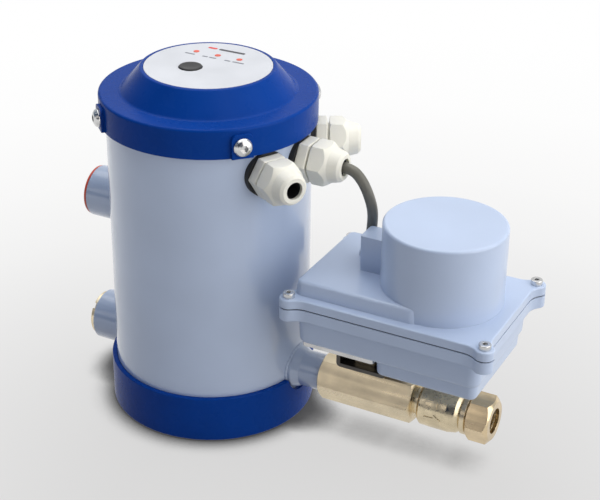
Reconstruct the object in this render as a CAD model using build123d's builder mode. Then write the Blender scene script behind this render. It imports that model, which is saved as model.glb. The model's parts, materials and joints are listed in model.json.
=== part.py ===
from build123d import *
from math import acos, cos, pi, radians, sin, sqrt, tan
import os

# Automatic condensate drain valve: a level-sensing tank whose outlet is a motor-driven ball valve.
# Frame: origin at the centre of the base on the floor, +X out of the outlet, +Z up. Millimetres.

# ---------------------------------------------------------------- driving dimensions
# clearances
RUNNING = 0.06             # radial running clearance
PART_GAP = 0.3             # gap between parts that move past each other
SLIP = 0.2                 # slip clearance of the plastic covers on the tube
HEX = 2 / sqrt(3)          # across corners over across flats

# tank
TUBE_R = 62.5
TUBE_WALL = 3.0
TUBE_TOP_Z = 206.0
TANK_FLOOR_THICK = 5.0
PARTITION_DROP = 58.0      # partition below the top of the tube
PARTITION_THICK = 6.0
STUB_R = 11.6
STUB_BORE_R = 7.0
STUB_LENGTH = 20.0
WELD_R = 14.0
WELD_LENGTH = 6.0

# base cup
CUP_WALL = 2.8
CUP_HEIGHT = 30.7
CUP_FLOOR = 4.0
NOTCH_GAP = 1.2            # room left round a pipe that crosses the cup's rim

# top cap
CAP_SKIRT_WALL = 3.5
CAP_SKIRT_DROP = 13.6      # skirt's rim below the top of the tube
CAP_SHELF_RISE = 4.5       # shelf above the top of the tube
CAP_CROWN = 14.2           # crown above the shelf
CAP_WALL = 3.0
CAP_SHELF_WIDTH = 13.2
CAP_CONE_RUN = 12.2
CAP_LIP = 2.2
LABEL_THICK = 0.6
CAP_SCREW_FIRST = -43.0    # degrees from +X
CAP_SCREW_COUNT = 4
CAP_SCREW_RISE = 7.1       # screw's axis above the skirt's rim
CAP_SCREW_R = 3.0
CAP_SCREW_HEAD_R = 5.6
CAP_SCREW_HEAD_H = 3.4
CAP_SCREW_LENGTH = 16.0
PAD_WIDTH = 13.0
PAD_HEIGHT = 14.6
PAD_PROUD = 1.6

# test button and lamps, on the label
BUTTON_X = -7.8
BUTTON_Y = -7.6
BUTTON_R = 7.0
BUTTON_TRAVEL = 1.2
BUTTON_PROUD = 0.8
BUTTON_FLANGE = 1.6
BUTTON_FOOT_DEPTH = 2.4
DISH_R = 30.0
DISH_DEPTH = 0.5
LED_Y = 17.0
LED_SPACING = 15.0
LED_MIDDLE_X = -3.4
LED_R = 1.8
LED_RIM = 0.9
LED_PROUD = 0.2

# ports on the inlet side
UPPER_PORT_DROP = 24.2     # below the partition
LOWER_PORT_Z = 32.0
SOCKET_R = 16.5
SOCKET_THREAD_R = 12.1     # G 3/4 minor radius
SOCKET_LENGTH = 21.0
PLUG_RIM = 1.5
PLUG_DEPTH = 9.0
BUSHING_R = 14.6
BUSHING_PROUD = 3.2
BUSHING_BORE_R = 9.3       # G 1/2 minor radius
BUSHING_SLOTS = 4
BUSHING_DEPTH = 12.0

# ball valve on the outlet line
OUTLET_Z = 33.8
VALVE_LENGTH = 62.9
VALVE_AF = 27.0
VALVE_THREAD_R = 10.45     # G 1/2
VALVE_THREAD_DEPTH = 12.5
VALVE_BORE_R = 5.5
BALL_R = 9.8
SEAT_LENGTH = 6.0
SEAT_BACK = 1.6            # seat behind the ball, at each end
RETAINER_LENGTH = 9.0
SLOT_DEPTH = 3.6
BLADE_THICK = 4.0
BLADE_WIDTH = 8.0
STEM_R = 4.0
STEM_COLLAR_R = 5.6
STEM_COLLAR_H = 3.0
BONNET_R = 9.8
BONNET_SPIGOT_R = 7.0
BONNET_NECK_R = 8.0
BONNET_NUT_AF = 22.0
BONNET_NUT_H = 4.0
PACKING_R = 6.0
PACKING_HEIGHT = 4.0

# cable glands on the tank
GLAND_DROP = 28.0          # glands below the top of the tube
GLAND_STEP = 28.0          # degrees between neighbours
GLAND_AF = 24.0
GLAND_THREAD_R = 10.0
GLAND_BORE_R = 7.0
GLAND_NECK_R = 9.6
GLAND_INNER = 11.0
GLAND_BODY_END = 19.0
GLAND_NUT_START = 10.4
GLAND_NUT_HEX_END = 18.0
GLAND_REACH = 29.5
GLAND_TIP_R = 7.6
GLAND_MOUTH_R = 5.2
WASHER_THICK = 2.0
INSERT_GRIP = 6.0
INSERT_END = 27.0
INSERT_TIP_R = 7.2
LOCKNUT_THICK = 5.0
CABLE_R = 3.25

# bracket between the valve and the actuator
BRACKET_RISE = 19.2        # bracket's foot above the outlet's axis
BRACKET_HEIGHT = 21.0
BRACKET_WALL = 2.5
BRACKET_HALF_X = 16.4
BRACKET_HALF_Y = 17.0
BRACKET_SCREW_X = 9.5
BRACKET_SCREW_Y = 12.0
BRACKET_SCREW_R = 2.0
BRACKET_SCREW_LENGTH = 8.0
BRACKET_SCREW_HEAD_R = 3.5
BRACKET_SCREW_HEAD_H = 3.0
PLATE_THICK = 3.0
PLATE_HALF_Y = 36.5
PLATE_SLOT_R = 2.6
PLATE_SLOT_INSET = 6.0

# actuator housing, measured from its own centre
ACT_FROM_SPINDLE = 25.25
EAR_R = 5.8
EAR_BLEND_R = 12.0
HOUSING_HALF_X = 58.5
HOUSING_HALF_Y = 40.5
HOUSING_WALL = 2.5
FLANGE_OUT = 3.5           # flange beyond the walls
FLANGE_HALF_X = HOUSING_HALF_X + FLANGE_OUT
FLANGE_HALF_Y = HOUSING_HALF_Y + FLANGE_OUT
SCREW_OUT_X = 2.9          # screws beyond the walls
SCREW_OUT_Y = 2.0
SCREW_HALF_X = HOUSING_HALF_X + SCREW_OUT_X
SCREW_HALF_Y = HOUSING_HALF_Y + SCREW_OUT_Y
HOUSING_DEPTH = 18.0       # from the flange down to the bottom
FLANGE_THICK = 7.4
GASKET_THICK = 0.8
GASKET_INSET = 0.7
COVER_FLANGE_THICK = 5.6
COVER_PAD_RISE = 8.9
PAD_IN_Y = 2.3             # pad's side inside the walls
PAD_OUT_X = 2.1            # pad's end beyond the walls
PAD_HALF_Y = HOUSING_HALF_Y - PAD_IN_Y
PAD_START = -HOUSING_HALF_X - PAD_OUT_X
SUMP_START = -7.7
SUMP_IN_X = 2.2            # sump's end and sides inside the walls
SUMP_IN_Y = 3.0
SUMP_END = HOUSING_HALF_X - SUMP_IN_X
SUMP_HALF_Y = HOUSING_HALF_Y - SUMP_IN_Y
SUMP_DEPTH = 9.5
DOME_R = 36.6
DOME_RISE = 39.8
BOSS_START = -32.6
BOSS_HALF_Y = 7.8
BOSS_RISE = 22.6
GROMMET_FROM_ACT = -35.2
GROMMET_Y = 13.0
GROMMET_R = 4.6
GROMMET_FLANGE_R = 5.8
GROMMET_SEAT_R = 6.4
GROMMET_SEAT_RISE = 3.3
GROMMET_RISE = 11.3
HOUSING_SCREW_R = 2.0
HOUSING_SCREW_HEAD_R = 3.6
HOUSING_SCREW_HEAD_H = 3.0

# gears and drive
GEAR_MODULE = 1.0
SECTOR_FULL_TEETH = 68
SECTOR_TEETH = 23
SECTOR_REST = -45.0        # degrees from +X, valve closed
SECTOR_HUB_R = 10.0
PINION_TEETH = 18
GEAR_BACKLASH = 0.15
GEAR_WIDTH = 6.0
GEAR_RISE = 8.0            # gears above the housing's bottom
TOOTH_ROOT = 0.4           # how deep a tooth is rooted in its rim
PRESSURE_ANGLE = 20.0
COUPLING_H = 10.0
COUPLING_R = 8.5
COUPLING_GRIP = 5.0        # coupling on the valve's stem
SHAFT_R = 6.0
SHAFT_SMALL_R = 2.5
BUSH_R = 8.0
BUSH_FLANGE = 1.5
PLATFORM_RISE = 18.5       # platform above the housing's bottom
PLATFORM_THICK = 2.5
PLATFORM_IN = 3.5          # platform's edge inside the walls
PLATFORM_HALF_X = HOUSING_HALF_X - PLATFORM_IN
PLATFORM_HALF_Y = HOUSING_HALF_Y - PLATFORM_IN
PILLAR_IN_X = 7.5
PILLAR_IN_Y = 9.0
PILLAR_HALF_X = HOUSING_HALF_X - PILLAR_IN_X
PILLAR_Y = HOUSING_HALF_Y - PILLAR_IN_Y
PILLAR_R = 4.5
PILLAR_SCREW_R = 1.5
CAM_LIFT = 3.0             # cams above the platform
CAM_THICK = 4.0
CAM_R = 9.5
CAM_LOBE_R = 4.0
SWITCH_FROM_SPINDLE = -19.95
SWITCH_WIDTH = 12.0
SWITCH_DEPTH = 20.0
MOTOR_R = 28.0
MOTOR_LENGTH = 46.0
MOTOR_WALL = 3.0
MOTOR_SPIGOT_R = 6.0
ROTOR_R = 12.0
ROTOR_LENGTH = 26.0

# check valve and compression outlet
BARREL_GAP = 4.4           # neck between the two valves
BARREL_R = 14.2
BARREL_LENGTH = 27.2
BARREL_BORE_R = 9.5
NECK_R = 8.8
ADAPTER_DEPTH = 7.0
ADAPTER_BORE_R = 6.6
ADAPTER_THREAD_R = 10.2
ADAPTER_REACH = 13.5       # adapter beyond the barrel
COLLAR_R = 12.8
COLLAR_LENGTH = 3.9
GUIDE_THICK = 2.0
PIPE_R = 7.55
PIPE_STOP = 9.0
PIPE_SLACK = 0.4           # of the ring and the nut round the pipe
RING_LENGTH = 2.8
NUT_LENGTH = 14.6
NUT_AF = 26.5
POPPET_THICK = 2.2
POPPET_STEM_R = 2.0
SPRING_R = 5.0
SPRING_WIRE_R = 0.4
SPRING_TURNS = 4

# inside the tank's top
BASE_BOSS_R = 7.0
BASE_SCREW_R = 2.5
BASE_SCREW_LENGTH = 7.0
BASE_HEAD_R = 5.0
BASE_SCREW_ANGLES = (60.0, 180.0, 300.0)
BASE_DRIVE_R = 1.5
WELD_NUT = 11.0
WELD_NUT_THICK = 6.0
PROBE_THREAD_R = 9.0
PROBE_R = 4.0
PROBE_AF = 24.0
PROBE_TIP_RISE = 32.0      # probe's tip above the tank's floor
PROBE_HEX_H = 8.0
STANDOFF_COUNT = 4
STANDOFF_FIRST = 45.0
STANDOFF_STUD_R = 1.9
STANDOFF_AF = 7.0
BOARD_DROP = 11.0          # board below the top of the tube
BOARD_THICK = 1.6
BOARD_GAP = 11.5           # board inside the tube's bore
BOARD_PEG_R = 1.5
BOARD_NOTCH = 40.0
BOARD_NOTCH_DEPTH = 12.0
SWITCH_HEIGHT = 8.0
SWITCH_SIDE = 12.0
SWITCH_STEM_R = 2.5
TERMINAL_INSET = 15.0
TERMINAL_PITCH = 17.0
TERMINAL_WIDTH = 15.0
TERMINAL_DEPTH = 8.0
TERMINAL_HEIGHT = 10.0
TRANSFORMER_WIDTH = 24.0
TRANSFORMER_DEPTH = 16.0
TRANSFORMER_HEIGHT = 13.0
TRANSFORMER_CORE = 3.0
RELAY_WIDTH = 15.0
RELAY_DEPTH = 11.0
RELAY_HEIGHT = 12.0

# ---------------------------------------------------------------- worked out from those
# levels and radii of the tank
TUBE_BORE_R = TUBE_R - TUBE_WALL
CUP_BORE_R = TUBE_R + SLIP
CUP_R = CUP_BORE_R + CUP_WALL
TANK_FLOOR_Z = 2 * CUP_FLOOR
PARTITION_Z = TUBE_TOP_Z - PARTITION_DROP
PARTITION_TOP_Z = PARTITION_Z + PARTITION_THICK
UPPER_PORT_Z = PARTITION_Z - UPPER_PORT_DROP
SOCKET_END_X = TUBE_R + SOCKET_LENGTH
PROBE_TIP_Z = TANK_FLOOR_Z + TANK_FLOOR_THICK + PROBE_TIP_RISE
BASE_SCREW_RING_R = TUBE_BORE_R - 17.5

# cap
CAP_BORE_R = TUBE_R + SLIP
CAP_R = CAP_BORE_R + CAP_SKIRT_WALL
CAP_SKIRT_Z = TUBE_TOP_Z - CAP_SKIRT_DROP
CAP_SHELF_Z = TUBE_TOP_Z + CAP_SHELF_RISE
CAP_TOP_Z = CAP_SHELF_Z + CAP_CROWN
CAP_ROOF_Z = CAP_TOP_Z - LABEL_THICK - CAP_WALL
CAP_SCREW_Z = CAP_SKIRT_Z + CAP_SCREW_RISE
CONE_FOOT_R = CAP_R - CAP_SHELF_WIDTH
CONE_LIP_R = CONE_FOOT_R - CAP_CONE_RUN
LABEL_R = CONE_LIP_R - CAP_LIP
BUTTON_TOP_Z = CAP_TOP_Z + BUTTON_PROUD
BUTTON_FOOT_Z = CAP_ROOF_Z - PART_GAP - BUTTON_FOOT_DEPTH

# board under the cap
BOARD_Z = TUBE_TOP_Z - BOARD_DROP
BOARD_TOP_Z = BOARD_Z + BOARD_THICK
BOARD_R = TUBE_BORE_R - BOARD_GAP
STANDOFF_RING_R = BOARD_R - 8
TERMINAL_X = BOARD_R - TERMINAL_INSET
TRANSFORMER_SPOT = (-0.29 * BOARD_R, -0.6 * BOARD_R)
RELAY_SPOTS = ((0.17 * BOARD_R, -0.6 * BOARD_R), (0.17 * BOARD_R, 0.65 * BOARD_R))

# outlet line
GLAND_Z = TUBE_TOP_Z - GLAND_DROP
VALVE_START_X = TUBE_R + STUB_LENGTH
VALVE_END_X = VALVE_START_X + VALVE_LENGTH
SPINDLE_X = VALVE_START_X + VALVE_LENGTH / 2
STEM_COLLAR_Z = OUTLET_Z + BALL_R + 2
BONNET_SEAT_Z = STEM_COLLAR_Z + 1.8
BRACKET_Z = OUTLET_Z + BRACKET_RISE
PLATE_Z = BRACKET_Z + BRACKET_HEIGHT
PACKING_Z = BRACKET_Z
BONNET_TOP_Z = BRACKET_Z + 7.5
STEM_TOP_Z = PLATE_Z - 6
COUPLING_Z = STEM_TOP_Z - COUPLING_GRIP
BARREL_START_X = VALVE_END_X + BARREL_GAP
BARREL_END_X = BARREL_START_X + BARREL_LENGTH
NUT_START_X = BARREL_END_X + COLLAR_LENGTH + PART_GAP
ADAPTER_END_X = BARREL_END_X + ADAPTER_REACH

# actuator
GEAR_CENTRES = GEAR_MODULE * (SECTOR_FULL_TEETH + PINION_TEETH) / 2
MOTOR_X = SPINDLE_X + GEAR_CENTRES
ACT_X = SPINDLE_X + ACT_FROM_SPINDLE
PAD_START_X = ACT_X + PAD_START
SUMP_START_X = ACT_X + SUMP_START
SUMP_END_X = ACT_X + SUMP_END
BOSS_START_X = ACT_X + BOSS_START
GROMMET_X = ACT_X + GROMMET_FROM_ACT
SWITCH_X = SPINDLE_X + SWITCH_FROM_SPINDLE
PLATE_START_X = VALVE_START_X + 1
HOUSING_BOTTOM_Z = PLATE_Z + PLATE_THICK
SUMP_BOTTOM_Z = HOUSING_BOTTOM_Z - SUMP_DEPTH
FLANGE_BOTTOM_Z = HOUSING_BOTTOM_Z + HOUSING_DEPTH
GASKET_Z = FLANGE_BOTTOM_Z + FLANGE_THICK
GASKET_TOP_Z = GASKET_Z + GASKET_THICK
COVER_FLANGE_TOP_Z = GASKET_TOP_Z + COVER_FLANGE_THICK
PAD_TOP_Z = COVER_FLANGE_TOP_Z + COVER_PAD_RISE
DOME_TOP_Z = PAD_TOP_Z + DOME_RISE
BOSS_TOP_Z = PAD_TOP_Z + BOSS_RISE
GROMMET_SEAT_Z = PAD_TOP_Z + GROMMET_SEAT_RISE
GROMMET_TOP_Z = PAD_TOP_Z + GROMMET_RISE
GEAR_Z = HOUSING_BOTTOM_Z + GEAR_RISE
PLATFORM_Z = HOUSING_BOTTOM_Z + PLATFORM_RISE
CAM_Z = PLATFORM_Z + PLATFORM_THICK + CAM_LIFT
SHAFT_TOP_Z = COVER_FLANGE_TOP_Z + 4.7

# cable route, gland mouth to actuator grommet
GLAND_FACE_X = TUBE_R + INSERT_END
CABLE_ROUTE = (
    (GLAND_FACE_X, 0.0, GLAND_Z),
    (GLAND_FACE_X + 8.5, 0.0, GLAND_Z),
    (GLAND_FACE_X + 15.5, 0.8, GLAND_Z - 5.5),
    (GROMMET_X + 4.3, 3.0, GLAND_Z - 14.5),
    (GROMMET_X + 4.4, 7.2, GROMMET_TOP_Z + 22.5),
    (GROMMET_X, GROMMET_Y, GROMMET_TOP_Z + 10.5),
    (GROMMET_X, GROMMET_Y, GROMMET_TOP_Z),
)

CAP_SCREW_ANGLES = [CAP_SCREW_FIRST + 360 / CAP_SCREW_COUNT * i for i in range(CAP_SCREW_COUNT)]
GLAND_ANGLES = {"front": -GLAND_STEP, "middle": 0.0, "rear": GLAND_STEP}
SIDE_PORT_Z = [UPPER_PORT_Z, LOWER_PORT_Z]

os.makedirs("parts", exist_ok=True)


def write(piece, name):
    """Label a finished piece and write its STEP file."""
    piece.part.label = name
    export_step(piece.part, f"parts/{name}.step")


def along_x(x, z, y=0.0):
    """Plane at x whose normal is +X, local x along +Y and local y along +Z."""
    return Plane(origin=(x, y, z), x_dir=(0, 1, 0), z_dir=(1, 0, 0))


def along_inlet(x, z):
    """Plane at -x whose normal is -X, for what leaves the tank on its inlet side."""
    return Plane(origin=(-x, 0, z), x_dir=(0, -1, 0), z_dir=(-1, 0, 0))


def radial(angle, z, reach=0.0):
    """Plane on a radius of the tank, its normal pointing outwards and its local y along +Z."""
    out = Vector(cos(radians(angle)), sin(radians(angle)), 0)
    side = Vector(-sin(radians(angle)), cos(radians(angle)), 0)
    return Plane(origin=out * reach + Vector(0, 0, z), x_dir=side, z_dir=out)


def spin(plane, points, mode=Mode.ADD):
    """Turned solid in the current part: (distance along the normal, radius) points round plane's normal."""
    half = Plane(origin=plane.origin, x_dir=plane.z_dir, z_dir=-plane.y_dir)
    with BuildSketch(half) as profile:
        with BuildLine():
            Polyline(*points, close=True)
        make_face()
    revolve(profile.sketch, Axis(plane.origin, plane.z_dir), mode=mode)


def base_screw_plane(angle):
    """Level plane on the axis of one screw that holds the cup under the tank's floor."""
    place = Vector(cos(radians(angle)), sin(radians(angle)), 0) * BASE_SCREW_RING_R
    return Plane(origin=place, x_dir=(1, 0, 0), z_dir=(0, 0, 1))


def tank_cylinder(radius, mode=Mode.SUBTRACT):
    """Upright cylinder on the tank's axis, taller than the tank."""
    with Locations((0, 0, TUBE_TOP_Z / 2)):
        Cylinder(radius, 2 * TUBE_TOP_Z, mode=mode)


# ---------------------------------------------------------------- tank weldment
def tank():
    with BuildPart() as tube:
        with BuildSketch(Plane.XY.offset(CUP_FLOOR)):
            Circle(TUBE_R)
            Circle(TUBE_BORE_R, mode=Mode.SUBTRACT)
        extrude(amount=TUBE_TOP_Z - CUP_FLOOR)
        with BuildSketch(along_x(0, OUTLET_Z)):
            Circle(STUB_BORE_R)
        extrude(amount=TUBE_R + 1, mode=Mode.SUBTRACT)
        for z in SIDE_PORT_Z:
            with BuildSketch(along_inlet(0, z)):
                Circle(SOCKET_THREAD_R)
            extrude(amount=TUBE_R + 1, mode=Mode.SUBTRACT)
        for angle in GLAND_ANGLES.values():
            with BuildSketch(radial(angle, GLAND_Z)):
                Circle(GLAND_THREAD_R)
            extrude(amount=TUBE_R + 1, mode=Mode.SUBTRACT)
        for angle in CAP_SCREW_ANGLES:
            with BuildSketch(radial(angle, CAP_SCREW_Z, TUBE_BORE_R - WELD_NUT_THICK)):
                Rectangle(WELD_NUT, WELD_NUT)
            extrude(amount=WELD_NUT_THICK + TUBE_WALL / 3)
            with BuildSketch(radial(angle, CAP_SCREW_Z)):
                Circle(CAP_SCREW_R)
            extrude(amount=TUBE_R + 1, mode=Mode.SUBTRACT)
    write(tube, "housing_tube")

    with BuildPart() as floor:
        with BuildSketch(Plane.XY.offset(TANK_FLOOR_Z)):
            Circle(TUBE_BORE_R)
        extrude(amount=TANK_FLOOR_THICK)
        for angle in BASE_SCREW_ANGLES:
            with BuildSketch(base_screw_plane(angle).offset(CUP_FLOOR)):
                Circle(BASE_BOSS_R)
            extrude(amount=TANK_FLOOR_Z - CUP_FLOOR)
            with BuildSketch(base_screw_plane(angle).offset(CUP_FLOOR)):
                Circle(BASE_SCREW_R)
            extrude(amount=BASE_SCREW_LENGTH, mode=Mode.SUBTRACT)
    write(floor, "tank_floor")

    with BuildPart() as partition:
        with BuildSketch(Plane.XY.offset(PARTITION_Z)):
            Circle(TUBE_BORE_R)
            Circle(PROBE_THREAD_R, mode=Mode.SUBTRACT)
        extrude(amount=PARTITION_THICK)
        with BuildSketch(Plane.XY.offset(PARTITION_TOP_Z)):
            with PolarLocations(STANDOFF_RING_R, STANDOFF_COUNT, start_angle=STANDOFF_FIRST):
                Circle(STANDOFF_STUD_R)
        extrude(amount=-PARTITION_THICK / 2, mode=Mode.SUBTRACT)
    write(partition, "partition_plate")

    with BuildPart() as sockets:
        for z in SIDE_PORT_Z:
            with BuildSketch(along_inlet(TUBE_R - SOCKET_R / 2, z)):
                Circle(SOCKET_R)
                Circle(SOCKET_THREAD_R, mode=Mode.SUBTRACT)
            extrude(amount=SOCKET_END_X - TUBE_R + SOCKET_R / 2)
        chamfer(sockets.edges().group_by(Axis.X)[0], 0.5)
        tank_cylinder(TUBE_R)
    write(sockets, "port_sockets")

    with BuildPart() as stub:
        axis = along_x(0, OUTLET_Z)
        spin(axis, [
            (TUBE_R - 3, STUB_BORE_R),
            (TUBE_R - 3, WELD_R),
            (TUBE_R + 1.2, WELD_R),
            (TUBE_R + WELD_LENGTH, STUB_R),
            (VALVE_START_X, STUB_R),
            (VALVE_START_X, VALVE_THREAD_R),
            (VALVE_START_X + VALVE_THREAD_DEPTH - PART_GAP, VALVE_THREAD_R),
            (VALVE_START_X + VALVE_THREAD_DEPTH - PART_GAP, STUB_BORE_R),
        ])
        tank_cylinder(TUBE_R)
    write(stub, "outlet_stub")


# ---------------------------------------------------------------- base cup
def base_cup():
    with BuildPart() as cup:
        with BuildSketch(Plane.XY):
            Circle(CUP_R)
        extrude(amount=CUP_HEIGHT)
        fillet(cup.edges().group_by(Axis.Z)[0], 1.6)
        fillet(cup.edges().group_by(Axis.Z)[-1], 0.8)
        with BuildSketch(Plane.XY.offset(CUP_FLOOR)):
            Circle(CUP_BORE_R)
        extrude(amount=CUP_HEIGHT, mode=Mode.SUBTRACT)
        with BuildSketch(along_x(0, OUTLET_Z)):
            Circle(WELD_R + NOTCH_GAP)
        extrude(amount=CUP_R + 1, mode=Mode.SUBTRACT)
        with BuildSketch(along_inlet(0, LOWER_PORT_Z)):
            Circle(SOCKET_R + NOTCH_GAP)
        extrude(amount=CUP_R + 1, mode=Mode.SUBTRACT)
        for angle in BASE_SCREW_ANGLES:
            spin(base_screw_plane(angle), [
                (0, 0),
                (0, BASE_HEAD_R + SLIP),
                (PART_GAP, BASE_HEAD_R + SLIP),
                (CUP_FLOOR, BASE_SCREW_R + SLIP),
                (CUP_FLOOR, 0),
            ], Mode.SUBTRACT)
    write(cup, "base_cup")


# ---------------------------------------------------------------- top cap
def button_hole(radius):
    with Locations((BUTTON_X, BUTTON_Y)):
        Circle(radius, mode=Mode.SUBTRACT)


def led_places():
    return Locations(*[(LED_MIDDLE_X + LED_SPACING * i, LED_Y) for i in (-1, 0, 1)])


def top_cap():
    cone_slope = (CAP_TOP_Z - CAP_SHELF_Z) / (CONE_FOOT_R - CONE_LIP_R)
    inner_foot_r = CONE_FOOT_R - CAP_WALL / 2
    inner_lip_r = inner_foot_r - (CAP_ROOF_Z - CAP_SHELF_Z + CAP_WALL) / cone_slope
    with BuildPart() as cap:
        with BuildSketch(Plane.XZ):
            with BuildLine():
                Polyline(
                    (0, CAP_ROOF_Z),
                    (inner_lip_r, CAP_ROOF_Z),
                    (inner_foot_r, CAP_SHELF_Z - CAP_WALL),
                    (CAP_BORE_R, CAP_SHELF_Z - CAP_WALL),
                    (CAP_BORE_R, CAP_SKIRT_Z),
                    (CAP_R, CAP_SKIRT_Z),
                    (CAP_R, CAP_SHELF_Z),
                    (CONE_FOOT_R, CAP_SHELF_Z),
                    (CONE_LIP_R, CAP_TOP_Z),
                    (LABEL_R + SLIP, CAP_TOP_Z),
                    (LABEL_R + SLIP, CAP_TOP_Z - LABEL_THICK),
                    (0, CAP_TOP_Z - LABEL_THICK),
                    close=True,
                )
            make_face()
        revolve(axis=Axis.Z)
        rims = cap.edges().filter_by(GeomType.CIRCLE)
        fillet(rims.filter_by(lambda e: abs(e.radius - CAP_R) < 0.01 and e.center().Z > CAP_SKIRT_Z + 1), 1.6)
        rims = cap.edges().filter_by(GeomType.CIRCLE)
        fillet(rims.filter_by(lambda e: abs(e.radius - CONE_FOOT_R) < 0.01), 2.5)
        rims = cap.edges().filter_by(GeomType.CIRCLE)
        fillet(rims.filter_by(lambda e: abs(e.radius - CONE_LIP_R) < 0.01), 1.2)
        for angle in CAP_SCREW_ANGLES:
            with BuildSketch(radial(angle, CAP_SKIRT_Z + PAD_HEIGHT / 2, CAP_BORE_R - 3)) as pad:
                RectangleRounded(PAD_WIDTH, PAD_HEIGHT, 3.5)
                with Locations((0, -PAD_HEIGHT / 4)):
                    Rectangle(PAD_WIDTH, PAD_HEIGHT / 2)
            extrude(amount=CAP_R + PAD_PROUD - CAP_BORE_R + 3)
        with BuildSketch(Plane.XY.offset(CAP_SKIRT_Z)):
            Circle(CAP_BORE_R)
        extrude(amount=CAP_SHELF_Z - CAP_WALL - CAP_SKIRT_Z, mode=Mode.SUBTRACT)
        for angle in CAP_SCREW_ANGLES:
            with BuildSketch(radial(angle, CAP_SCREW_Z, CAP_BORE_R - 4)):
                Circle(CAP_SCREW_R + SLIP)
            extrude(amount=CAP_R + PAD_PROUD - CAP_BORE_R + 5, mode=Mode.SUBTRACT)
        with BuildSketch(Plane.XY.offset(CAP_ROOF_Z)):
            with Locations((BUTTON_X, BUTTON_Y)):
                Circle(BUTTON_R + PART_GAP)
            with led_places():
                Circle(LED_R + RUNNING)
        extrude(amount=CAP_WALL + 1, mode=Mode.SUBTRACT)
    write(cap, "top_cap")

    with BuildPart() as label:
        with BuildSketch(Plane.XY.offset(CAP_TOP_Z - LABEL_THICK)):
            Circle(LABEL_R)
            button_hole(BUTTON_R + PART_GAP)
            with led_places():
                Circle(LED_R + RUNNING, mode=Mode.SUBTRACT)
        extrude(amount=LABEL_THICK)
    write(label, "label_plate")

    with BuildPart() as seal:
        with BuildSketch(Plane.XY.offset(TUBE_TOP_Z)):
            Circle(TUBE_R - 0.3)
            Circle(TUBE_BORE_R + 0.3, mode=Mode.SUBTRACT)
        extrude(amount=CAP_SHELF_Z - CAP_WALL - TUBE_TOP_Z)
    write(seal, "cap_seal")

    with BuildPart() as windows:
        with BuildSketch(Plane.XY.offset(BOARD_TOP_Z)):
            with led_places():
                Circle(LED_R)
        extrude(amount=CAP_TOP_Z + LED_PROUD - BOARD_TOP_Z)
        with BuildSketch(Plane.XY.offset(CAP_ROOF_Z - 1)):
            with led_places():
                Circle(LED_R + LED_RIM)
        extrude(amount=1)
    write(windows, "status_lamps")


def cap_screws():
    with BuildPart() as screws:
        for angle in CAP_SCREW_ANGLES:
            seat = radial(angle, CAP_SCREW_Z, CAP_R + PAD_PROUD)
            spin(seat, [
                (-CAP_SCREW_LENGTH, 0),
                (-CAP_SCREW_LENGTH, CAP_SCREW_R),
                (0, CAP_SCREW_R),
                (0, CAP_SCREW_HEAD_R),
                (0.8, CAP_SCREW_HEAD_R),
                (2.2, CAP_SCREW_HEAD_R * 0.86),
                (3.0, CAP_SCREW_HEAD_R * 0.62),
                (CAP_SCREW_HEAD_H, CAP_SCREW_HEAD_R * 0.42),
                (CAP_SCREW_HEAD_H, 0),
            ])
            with BuildSketch(radial(angle, CAP_SCREW_Z, CAP_R + PAD_PROUD + CAP_SCREW_HEAD_H)):
                RegularPolygon(2.0, 6, major_radius=False)
            extrude(amount=-2.2, mode=Mode.SUBTRACT)
    write(screws, "cap_screws")


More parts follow.
